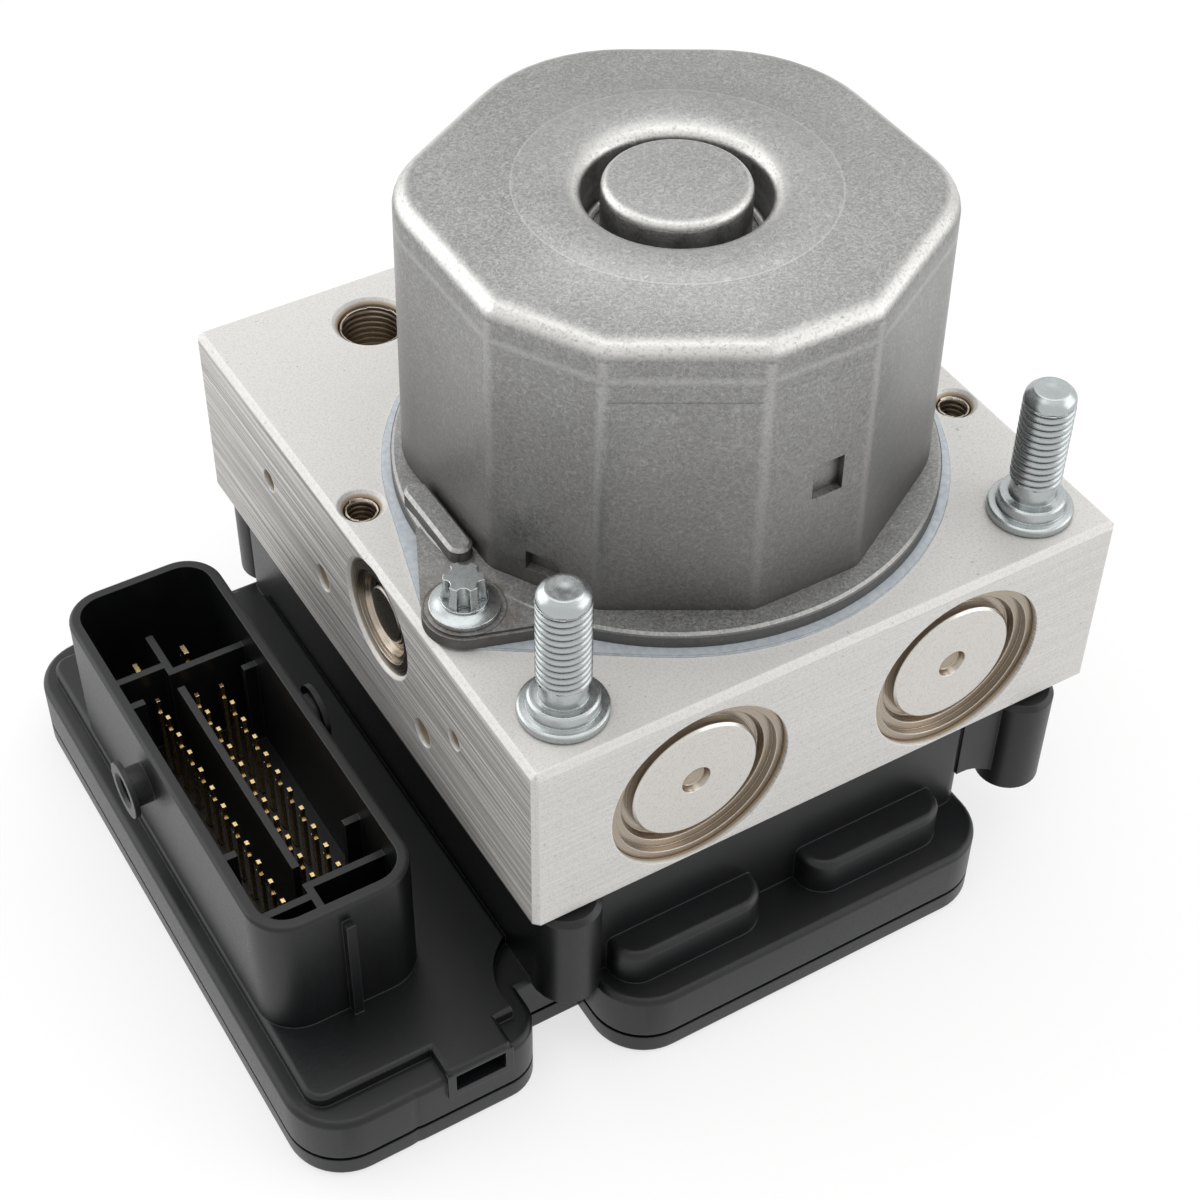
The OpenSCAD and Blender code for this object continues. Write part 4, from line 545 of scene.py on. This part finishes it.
def makeMouldedNylon(s):
    material, tree = startMaterial("mouldedNylon")
    place = addNode(tree, "ShaderNodeTexCoord").outputs["Object"]
    grain = addNode(tree, "ShaderNodeTexNoise", inputs={
        "Vector": place, "Scale": 1 / (s["grainMm"] * mm), "Detail": 4.0,
        "Roughness": 0.6}).outputs[0]
    flow = addNode(tree, "ShaderNodeTexNoise", inputs={
        "Vector": addNode(tree, "ShaderNodeMapping", inputs={
            "Vector": place, "Scale": Vector(s["stretch"])}).outputs[0],
        "Scale": 1 / (s["flowMm"] * mm), "Detail": 4.0, "Distortion": 0.8}).outputs[0]
    flowShare = addNode(tree, "ShaderNodeMapRange", inputs={
        "Value": flow, "From Min": 0.35, "From Max": 0.65}).outputs[0]
    soft, edge = findEdges(tree, s["edgeMm"], 0.97, 0.5)
    tone = layTones(tree, toLinear(s["colour"]), (
        (flowShare, s["light"]), (edge, s["edge"])))
    rough = addNode(tree, "ShaderNodeMapRange", inputs={
        "Value": grain, "From Min": 0.3, "From Max": 0.7, "To Min": s["roughness"] - 0.06,
        "To Max": s["roughness"] + 0.1}).outputs[0]
    relief = addNode(tree, "ShaderNodeBump", inputs={
        "Height": grain, "Distance": s["reliefMm"] * mm, "Strength": 0.9,
        "Normal": soft}).outputs[0]
    shader = addNode(tree, "ShaderNodeBsdfPrincipled", inputs={
        "Base Color": tone, "Metallic": s["metallic"], "Roughness": rough, "IOR": 1.45,
        "Normal": relief})
    addNode(tree, "ShaderNodeOutputMaterial", inputs={"Surface": shader.outputs[0]})
    return material


# The other finishes share one pattern: a grain of two tones in the material's own direction,
# with the tone at its edges given for those that show. "stretch" draws the grain out.

plainFinishes = {
    # rubber-coated steel sheet: blue-grey, satin, with a dark cut edge
    "gasket_rubber": {"name": "coatedGasketSheet", "base": "#c9cfd4", "spot": "#b7bfc6",
                      "edge": "#39424c", "edgeMm": 0.16, "metallic": 0.3, "roughness": 0.4,
                      "grainMm": 0.9, "reliefMm": 0.01, "stretch": (1, 1, 1)},
    # hard ground steel: clean, with fine lines round the part
    "ground_steel": {"name": "groundSteel", "base": "#b4b7ba", "spot": "#9da1a5",
                     "metallic": 1.0, "roughness": 0.25, "grainMm": 0.25, "reliefMm": 0.003,
                     "stretch": (0.2, 0.2, 1)},
    # phenolic resin with paper filler: warm brown, slightly mottled
    "brown_plastic": {"name": "phenolicResin", "base": "#5a3b23", "spot": "#6b482c",
                      "metallic": 0.0, "roughness": 0.5, "grainMm": 0.8, "reliefMm": 0.02,
                      "stretch": (1, 1, 0.4)},
    # moulded silicone: brick red, matt
    "seal_rubber": {"name": "siliconeSeal", "base": "#7b2f22", "spot": "#8c3a2b",
                    "metallic": 0.0, "roughness": 0.5, "grainMm": 0.4, "reliefMm": 0.01,
                    "stretch": (1, 1, 1)},
    # drawn spring wire: grey, with lines along the wire
    "spring_steel": {"name": "springWire", "base": "#a4a7a9", "spot": "#8a8d90",
                     "metallic": 1.0, "roughness": 0.3, "grainMm": 0.15, "reliefMm": 0.003,
                     "stretch": (1, 1, 1)},
    # sintered ferrite: charcoal, dull and granular
    "ferrite": {"name": "sinteredFerrite", "base": "#2a2a2c", "spot": "#3a3a3d",
                "metallic": 0.1, "roughness": 0.6, "grainMm": 0.3, "reliefMm": 0.02,
                "stretch": (1, 1, 1)},
    # a stack of stamped sheets: grey steel in layers of 0.5 mm
    "core_steel": {"name": "stampedCoreSteel", "base": "#85878a", "spot": "#67696c",
                   "metallic": 0.9, "roughness": 0.42, "grainMm": 0.5, "reliefMm": 0.03,
                   "stretch": (0.05, 0.05, 1)},
    # copper wire under varnish: red-brown, glossy, in fine turns
    "copper": {"name": "enamelledCopper", "base": "#b0683c", "spot": "#8a4a29",
               "metallic": 0.9, "roughness": 0.32, "grainMm": 0.45, "reliefMm": 0.04,
               "stretch": (0.25, 0.25, 1)},
    # pressed carbon: black, dry and grainy
    "carbon": {"name": "pressedCarbon", "base": "#242424", "spot": "#323232",
               "metallic": 0.0, "roughness": 0.65, "grainMm": 0.2, "reliefMm": 0.02,
               "stretch": (1, 1, 1)},
    # solder mask over woven glass: deep green, glossy, with a faint weave
    "circuit_board": {"name": "solderMask", "base": "#0f4a27", "spot": "#165a33",
                      "metallic": 0.0, "roughness": 0.32, "grainMm": 0.5, "reliefMm": 0.004,
                      "stretch": (1, 1, 1)},
    # moulded chip resin: black and matt, finely pitted
    "chip_plastic": {"name": "chipResin", "base": "#1d1d20", "spot": "#29292c",
                     "metallic": 0.0, "roughness": 0.5, "grainMm": 0.15, "reliefMm": 0.004,
                     "stretch": (1, 1, 1)},
    # gold over nickel on stamped pins: warm yellow, with a painted highlight at the cut edges and
    # tips
    "gold_plate": {"name": "goldPlate", "base": "#e2cb98", "spot": "#bf9f68",
                   "edge": "#fff4d8", "edgeMm": 0.14, "metallic": 1.0, "roughness": 0.24,
                   "grainMm": 0.25, "reliefMm": 0.002, "stretch": (1, 1, 0.2)},
}


def makePlainFinish(s):
    material, tree = startMaterial(s["name"])
    place = addNode(tree, "ShaderNodeTexCoord").outputs["Object"]
    grain = addNode(tree, "ShaderNodeTexNoise", inputs={
        "Vector": addNode(tree, "ShaderNodeMapping", inputs={
            "Vector": place, "Scale": Vector(s["stretch"])}).outputs[0],
        "Scale": 1 / (s["grainMm"] * mm), "Detail": 4.0}).outputs[0]
    share = addNode(tree, "ShaderNodeMapRange", inputs={
        "Value": grain, "From Min": 0.35, "From Max": 0.65}).outputs[0]
    layers = [(share, s["spot"])]
    relief = {"Height": grain, "Distance": s["reliefMm"] * mm, "Strength": 0.8}
    # Edges take their own tone: a painted highlight on the gold pins, the dark cut edge on the
    # gasket
    if "edge" in s:
        relief["Normal"], edge = findEdges(tree, s["edgeMm"])
        layers.append((edge, s["edge"]))
    tone = layTones(tree, toLinear(s["base"]), layers)
    rough = addNode(tree, "ShaderNodeMapRange", inputs={
        "Value": grain, "From Min": 0.3, "From Max": 0.7, "To Min": s["roughness"] - 0.04,
        "To Max": s["roughness"] + 0.06}).outputs[0]
    shader = addNode(tree, "ShaderNodeBsdfPrincipled", inputs={
        "Base Color": tone, "Metallic": s["metallic"], "Roughness": rough,
        "Normal": addNode(tree, "ShaderNodeBump", inputs=relief).outputs[0]})
    addNode(tree, "ShaderNodeOutputMaterial", inputs={"Surface": shader.outputs[0]})
    return material


finishes = {"block_aluminium": makeMilledAluminium(blockFinish),
            "motor_steel": makeDrawnSteel(motorFinish),
            "zinc_plated_steel": makeZincPlate(zincFinish),
            "black_plastic": makeMouldedNylon(nylonFinish)}
for slotName, finish in plainFinishes.items():
    finishes[slotName] = makePlainFinish(finish)
print("stage: finishes made,", len(finishes))


# Smooth copies of the solids: same places and sizes, with merged and smoothly shaded faces

smoothAngle = 28  # degrees: edges that turn less are shaded smooth
sameSpotM = 1e-6  # corners that are closer than this are one


def smoothCopy(nodeName):
    source = frame["nodes"][nodeName]
    copy = source.copy()
    copy.data = source.data.copy()
    copy.name = nodeName + "_finished"
    copy.parent = None
    for key in list(copy.keys()):
        del copy[key]
    bpy.context.scene.collection.objects.link(copy)
    copy.matrix_world = Matrix.Identity(4)
    pickOnly(copy)
    if copy.data.has_custom_normals:
        bpy.ops.mesh.customdata_custom_splitnormals_clear()
    openMesh()
    bpy.ops.mesh.remove_doubles(threshold=sameSpotM)
    bpy.ops.object.mode_set(mode="OBJECT")
    bpy.ops.object.shade_smooth_by_angle(angle=math.radians(smoothAngle))
    return copy


# Springs: the accumulators' are listed with their travel in millimetres and are fixed to the
# module, keeping their shape; the pumps' have no number and keep their place, fixed to no body
springMoves = {"accumulator_spring_left": 6.0, "accumulator_spring_right": 6.0,
               "pump_spring_left": 0.0, "pump_spring_right": 0.0}


def squeezeSpring(piece):
    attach(piece, "module")
    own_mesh(piece)


def stretchSpring(piece):
    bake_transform(piece)


# Turned discs: axis, radius of the bright disc and of the dimple in it
capDiscs = {"accumulator_cap_left": ("Y", 10.5, 2.4), "accumulator_cap_right": ("Y", 10.5, 2.4),
            "pump_plug_left": ("X", 4.6, 0.0), "pump_plug_right": ("X", 4.6, 0.0)}
shaped = ("stud_left", "stud_right")
for nodeName in frame["nodes"]:
    if nodeName in shaped:
        continue
    if nodeName in capDiscs:
        low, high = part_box(nodeName)
        axis, discMm, dimpleMm = capDiscs[nodeName]
        metal = plugFinish if nodeName.startswith("pump_plug") else capFinish
        finish = makeTurnedCap("turnedCap_" + nodeName, metal, axis,
                               (Vector(low) + Vector(high)) / 2, discMm, dimpleMm)
    else:
        finish = finishes[slotOf[nodeName]]
    piece = smoothCopy(nodeName)
    dress(piece, finish)
    if nodeName not in springMoves:
        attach(piece, bodyOf[nodeName])
    elif springMoves[nodeName] > 0:
        squeezeSpring(piece)
    else:
        stretchSpring(piece)
    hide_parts(nodeName)
print("stage: solids dressed")


# Profiles are drawn as by hand: one vertex, extruded from point to point in the XZ plane

def drawProfile(name, points):
    deselectAll()
    bpy.ops.mesh.primitive_plane_add(size=mm, location=(0, 0, 0))
    piece = bpy.context.object
    piece.name = name
    openMesh()
    bpy.ops.mesh.merge(type="CENTER")
    bpy.ops.transform.translate(value=(points[0][0] * mm, 0, points[0][1] * mm))
    for start, end in zip(points, points[1:]):
        step = ((end[0] - start[0]) * mm, 0, (end[1] - start[1]) * mm)
        bpy.ops.mesh.extrude_vertices_move(TRANSFORM_OT_translate={"value": step})
    bpy.ops.object.mode_set(mode="OBJECT")
    return piece


def closeUp(piece):  # merges what a turn or a screw leaves double and turns faces outwards
    pickOnly(piece)
    openMesh()
    bpy.ops.mesh.remove_doubles(threshold=2 * sameSpotM)
    bpy.ops.mesh.normals_make_consistent(inside=False)
    bpy.ops.object.mode_set(mode="OBJECT")


def turnProfile(name, points, steps):  # a profile turned once round the upright axis
    piece = drawProfile(name, points)
    openMesh()
    bpy.ops.mesh.spin(steps=steps, angle=math.tau, center=(0, 0, 0), axis=(0, 0, 1))
    bpy.ops.object.mode_set(mode="OBJECT")
    closeUp(piece)
    return piece


def applyModifier(piece, kind, settings):
    bpy.ops.object.modifier_add(type=kind)
    modifier = piece.modifiers[-1]
    for name, value in settings.items():
        setattr(modifier, name, value)
    bpy.ops.object.modifier_apply(modifier=modifier.name)


# Thread: one wave of a rounded ridge, wound by a screw and cut off level at both ends. It
# starts some turns lower, so that the cut passes through whole ridges.

threadForm = {"waveSteps": 8, "turnSteps": 40, "roundness": 0.6, "leadTurns": 1.2,
              "smoothAngle": 60, "gapMm": 0.02, "wallMm": 0.3}


def windThread(name, rootMm, crestMm, pitchMm, lowMm, highMm, wallMm=0.0):
    count, steps = threadForm["waveSteps"], threadForm["turnSteps"]
    ridge = [math.sin(math.pi * k / count) ** threadForm["roundness"] for k in range(count + 1)]
    piece = drawProfile(name, [(rootMm + (crestMm - rootMm) * share, pitchMm * k / count)
                               for k, share in enumerate(ridge)])
    applyModifier(piece, "SCREW", {
        "axis": "Z", "angle": math.tau, "steps": steps, "render_steps": steps,
        "screw_offset": pitchMm * mm, "iterations": math.ceil((highMm - lowMm) / pitchMm) + 2})
    openMesh()
    bpy.ops.mesh.remove_doubles(threshold=2 * sameSpotM)
    bpy.ops.transform.translate(value=(0, 0, (lowMm - threadForm["leadTurns"] * pitchMm) * mm))
    for cutMm, below in ((lowMm, True), (highMm, False)):
        bpy.ops.mesh.select_all(action="SELECT")
        bpy.ops.mesh.bisect(plane_co=(0, 0, cutMm * mm), plane_no=(0, 0, 1),
                            use_fill=wallMm == 0, clear_inner=below, clear_outer=not below)
    bpy.ops.object.mode_set(mode="OBJECT")
    closeUp(piece)
    if wallMm:  # an inner thread is a thin sleeve whose back lies inside the block
        applyModifier(piece, "SOLIDIFY", {
            "thickness": wallMm * mm, "offset": 1, "use_even_offset": False})
        closeUp(piece)
    return piece


def smoothPiece(piece, angle):
    pickOnly(piece)
    bpy.ops.object.shade_smooth_by_angle(angle=math.radians(angle))


def placeCopy(source, name, turn, at):  # a copy with its own mesh, its place put into the mesh
    copy = source.copy()
    copy.data = source.data.copy()
    copy.name = name
    bpy.context.scene.collection.objects.link(copy)
    copy.data.transform(Matrix.Translation(Vector(at)) @ turn.to_4x4())
    return copy


# Studs: a double collar, a neck, an M8 thread of rounded rolled ridges and a dished end

studForm = {"core": [(0, -10.5), (3.0, -10.5), (3.8, -9.7), (3.8, 0), (6.2, 0), (6.42, 0.1),
                     (6.5, 0.3), (6.5, 1.1), (6.42, 1.35), (6.15, 1.52), (5.4, 1.6),
                     (5.2, 1.65), (5.15, 1.8), (5.15, 3.0), (5.05, 3.3), (4.75, 3.52),
                     (4.3, 3.58), (3.7, 3.6), (3.56, 3.66), (3.5, 3.8), (3.48, 4.1),
                     (3.46, 6.8), (3.36, 7.2), (3.36, 20.7), (3.6, 21.0), (3.8, 21.3),
                     (3.83, 21.7), (3.75, 22.15), (3.55, 22.55), (3.25, 22.88), (2.92, 23.12),
                     (2.74, 23.28), (2.64, 23.37), (2.52, 23.4), (2.3, 23.39), (1.4, 23.37),
                     (0.9, 23.34), (0.5, 23.3), (0, 23.28)],
            "topMm": 23.4, "rootMm": 3.42, "crestMm": 3.92, "pitchMm": 1.2, "lowMm": 7.0,
            "highMm": 21.3, "sides": 56, "smoothAngle": 24}


def makeStuds(s):
    body = turnProfile("studBody", s["core"], s["sides"])
    thread = windThread("studThread", s["rootMm"], s["crestMm"], s["pitchMm"], s["lowMm"],
                        s["highMm"])
    smoothPiece(body, s["smoothAngle"])
    smoothPiece(thread, threadForm["smoothAngle"])
    pickOnly(body)
    thread.select_set(True)
    bpy.ops.object.join()
    for side in ("left", "right"):
        low, high = (Vector(corner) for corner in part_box("stud_" + side))
        at = ((low.x + high.x) / 2, (low.y + high.y) / 2, high.z - s["topMm"] * mm)
        stud = placeCopy(body, "threadedStud_" + side, Matrix.Identity(3), at)
        dress(stud, finishes["zinc_plated_steel"])
        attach(stud, "module")
        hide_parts("stud_" + side)
    bpy.data.objects.remove(body)


makeStuds(studForm)
print("stage: studs threaded")


# Tapped holes: sleeves of thread inside the drilled ports, just clear of their walls. Each hole
# is given by the middle of its mouth in millimetres and its turn from facing upwards.

portForm = {
    "master": {"boreMm": 5.5, "ridgeMm": 0.45, "pitchMm": 1.1, "topMm": 1.1, "lengthMm": 10.5},
    "wheel": {"boreMm": 4.5, "ridgeMm": 0.42, "pitchMm": 1.1, "topMm": 1.1, "lengthMm": 11.0},
    "bracket": {"boreMm": 2.8, "ridgeMm": 0.36, "pitchMm": 1.0, "topMm": 1.1, "lengthMm": 7.0}}
upward = Matrix.Identity(3)
backward = Matrix.Rotation(math.radians(-90), 3, "X")
blockTop = blockHigh.z / mm
portPlaces = {
    "master": [((side * 24.2, 51.3, blockTop), upward) for side in (-1, 1)],
    "bracket": [((side * 45.5, side * -12.6, blockTop), upward) for side in (-1, 1)],
    "wheel": [((i * 24.0, blockHigh.y / mm, blockLow.z / mm + 14.0), backward)
              for i in (-1.5, -0.5, 0.5, 1.5)]}
portAxes = {"master": "Z", "bracket": "Z", "wheel": "Y"}


def makePorts(forms, places):
    for kind, s in forms.items():
        thread = windThread(
            kind + "Thread", s["boreMm"] - threadForm["gapMm"], s["boreMm"] - s["ridgeMm"],
            s["pitchMm"], -s["topMm"] - s["lengthMm"], -s["topMm"], threadForm["wallMm"])
        smoothPiece(thread, threadForm["smoothAngle"])
        for number, (at, turn) in enumerate(places[kind], 1):
            mouth = Vector(at) * mm
            piece = placeCopy(thread, kind + "Thread_" + str(number), turn, mouth)
            dress(piece, makeTurnedCap("tappedHole_" + kind + "_" + str(number), capFinish,
                                       portAxes[kind], mouth, 0))
            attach(piece, "module")
        bpy.data.objects.remove(thread)


makePorts(portForm, portPlaces)
print("stage: ports tapped")


# Studio: pale floor, soft lamps, white seen by the camera and in metal and glass

studio = {"floorSizeM": 6.0, "floorAtM": -0.0001, "fadeFromM": 0.12, "fadeToM": 0.45,
          "floorColour": "#fcfcfc", "whiteColour": "#ffffff", "white": 1.0,
          "floorWhite": 0.68, "skyTop": 0.85, "skySide": 0.20, "skyLow": 0.12,
          "ceiling": 0.75, "horizon": 0.05, "ground": -0.5}


def makeFloor(s):
    deselectAll()
    bpy.ops.mesh.primitive_plane_add(size=s["floorSizeM"], location=(0, 0, s["floorAtM"]))
    floor = bpy.context.object
    floor.name = "studioFloor"
    material, tree = startMaterial("paleFloor")
    paper = addNode(tree, "ShaderNodeBsdfDiffuse", inputs={
        "Color": toLinear(s["floorColour"])})
    glow = addNode(tree, "ShaderNodeEmission", inputs={
        "Color": toLinear(s["whiteColour"]), "Strength": s["white"]})
    # Away from the object the floor fades into the white behind it
    away = addNode(tree, "ShaderNodeVectorMath", {"operation": "LENGTH"}, {
        0: addNode(tree, "ShaderNodeTexCoord").outputs["Object"]}).outputs["Value"]
    white = addNode(tree, "ShaderNodeMapRange", inputs={
        "Value": away, "From Min": s["fadeFromM"], "From Max": s["fadeToM"],
        "To Min": s["floorWhite"]}).outputs[0]
    share = addNode(tree, "ShaderNodeMath", {"operation": "MULTIPLY"},
                    {0: findSeen(tree), 1: white}).outputs[0]
    surface = addNode(tree, "ShaderNodeMixShader", inputs={
        0: share, 1: paper.outputs[0], 2: glow.outputs[0]})
    addNode(tree, "ShaderNodeOutputMaterial", inputs={"Surface": surface.outputs[0]})
    dress(floor, material)


def makeWorld(s):  # a bright ceiling and darker walls light the object, the camera sees white
    world = bpy.data.worlds.new("studioWorld")
    bpy.context.scene.world = world
    world.use_nodes = True
    tree = world.node_tree
    tree.nodes.clear()
    place = addNode(tree, "ShaderNodeTexCoord").outputs["Generated"]
    height = addNode(tree, "ShaderNodeSeparateXYZ", inputs={"Vector": place}).outputs["Z"]
    upper = addNode(tree, "ShaderNodeMapRange", inputs={
        "Value": height, "From Min": s["horizon"], "From Max": s["ceiling"],
        "To Min": s["skySide"], "To Max": s["skyTop"]}).outputs[0]
    lower = addNode(tree, "ShaderNodeMapRange", inputs={
        "Value": height, "From Min": s["ground"], "From Max": s["horizon"],
        "To Min": s["skyLow"], "To Max": s["skySide"]}).outputs[0]
    above = addNode(tree, "ShaderNodeMath", {"operation": "GREATER_THAN"},
                    {0: height, 1: s["horizon"]}).outputs[0]
    level = addNode(tree, "ShaderNodeMix", inputs={0: above, 2: lower, 3: upper}).outputs[0]
    room, white = (addNode(tree, "ShaderNodeBackground", inputs={
        "Color": toLinear(s["whiteColour"]), "Strength": strength})
        for strength in (level, s["white"]))
    mixed = addNode(tree, "ShaderNodeMixShader", inputs={
        0: findSeen(tree), 1: room.outputs[0], 2: white.outputs[0]})
    addNode(tree, "ShaderNodeOutputWorld", inputs={"Surface": mixed.outputs[0]})


lamps = {
    "topSoftbox": {"at": (0.05, 0.10, 1.05), "to": (0, 0, 0.06), "size": 1.2, "power": 4.2},
    "leftSoftbox": {"at": (-0.50, 0.62, 0.34), "to": (0, 0, 0.05), "size": 0.8, "power": 2.8},
    "frontSoftbox": {"at": (0.90, -0.60, 0.42), "to": (0, 0, 0.05), "size": 1.0, "power": 4.2},
}


def makeLamps(settings):
    for name, s in settings.items():
        data = bpy.data.lights.new(name, "AREA")
        data.shape = "SQUARE"
        data.size = s["size"]
        data.energy = s["power"]
        lamp = bpy.data.objects.new(name, data)
        lamp.location = s["at"]
        aim = Vector(s["to"]) - Vector(s["at"])
        lamp.rotation_euler = aim.to_track_quat("-Z", "Y").to_euler()
        bpy.context.scene.collection.objects.link(lamp)


# Camera: the photograph's own view, solved from the block's edges
view = {"at": (-0.1483, -0.2221, 0.2997), "yaw": 31.679, "pitch": 44.990, "roll": 1.1014,
        "focalPixels": 2323.6, "widthPixels": 1200.0, "sensorMm": 36.0,
        "nearestM": 0.01}


def makeCamera(s):
    yaw, pitch, roll = (math.radians(s[key]) for key in ("yaw", "pitch", "roll"))
    forward = Vector((math.sin(yaw) * math.cos(pitch), math.cos(yaw) * math.cos(pitch),
                      -math.sin(pitch)))
    level = Vector((math.cos(yaw), -math.sin(yaw), 0))
    upright = level.cross(forward)
    right = math.cos(roll) * level + math.sin(roll) * upright
    up = -math.sin(roll) * level + math.cos(roll) * upright
    data = bpy.data.cameras.new("studioCamera")
    data.sensor_width = s["sensorMm"]
    data.lens = s["focalPixels"] / s["widthPixels"] * s["sensorMm"]
    data.clip_start = s["nearestM"]
    camera = bpy.data.objects.new("studioCamera", data)
    turn = Matrix((right, up, -forward)).transposed()
    camera.matrix_world = Matrix.Translation(Vector(s["at"])) @ turn.to_4x4()
    bpy.context.scene.collection.objects.link(camera)
    bpy.context.scene.camera = camera


makeFloor(studio)
makeWorld(studio)
makeLamps(lamps)
makeCamera(view)
bpy.context.scene.view_settings.view_transform = "Standard"
print("stage: studio ready")
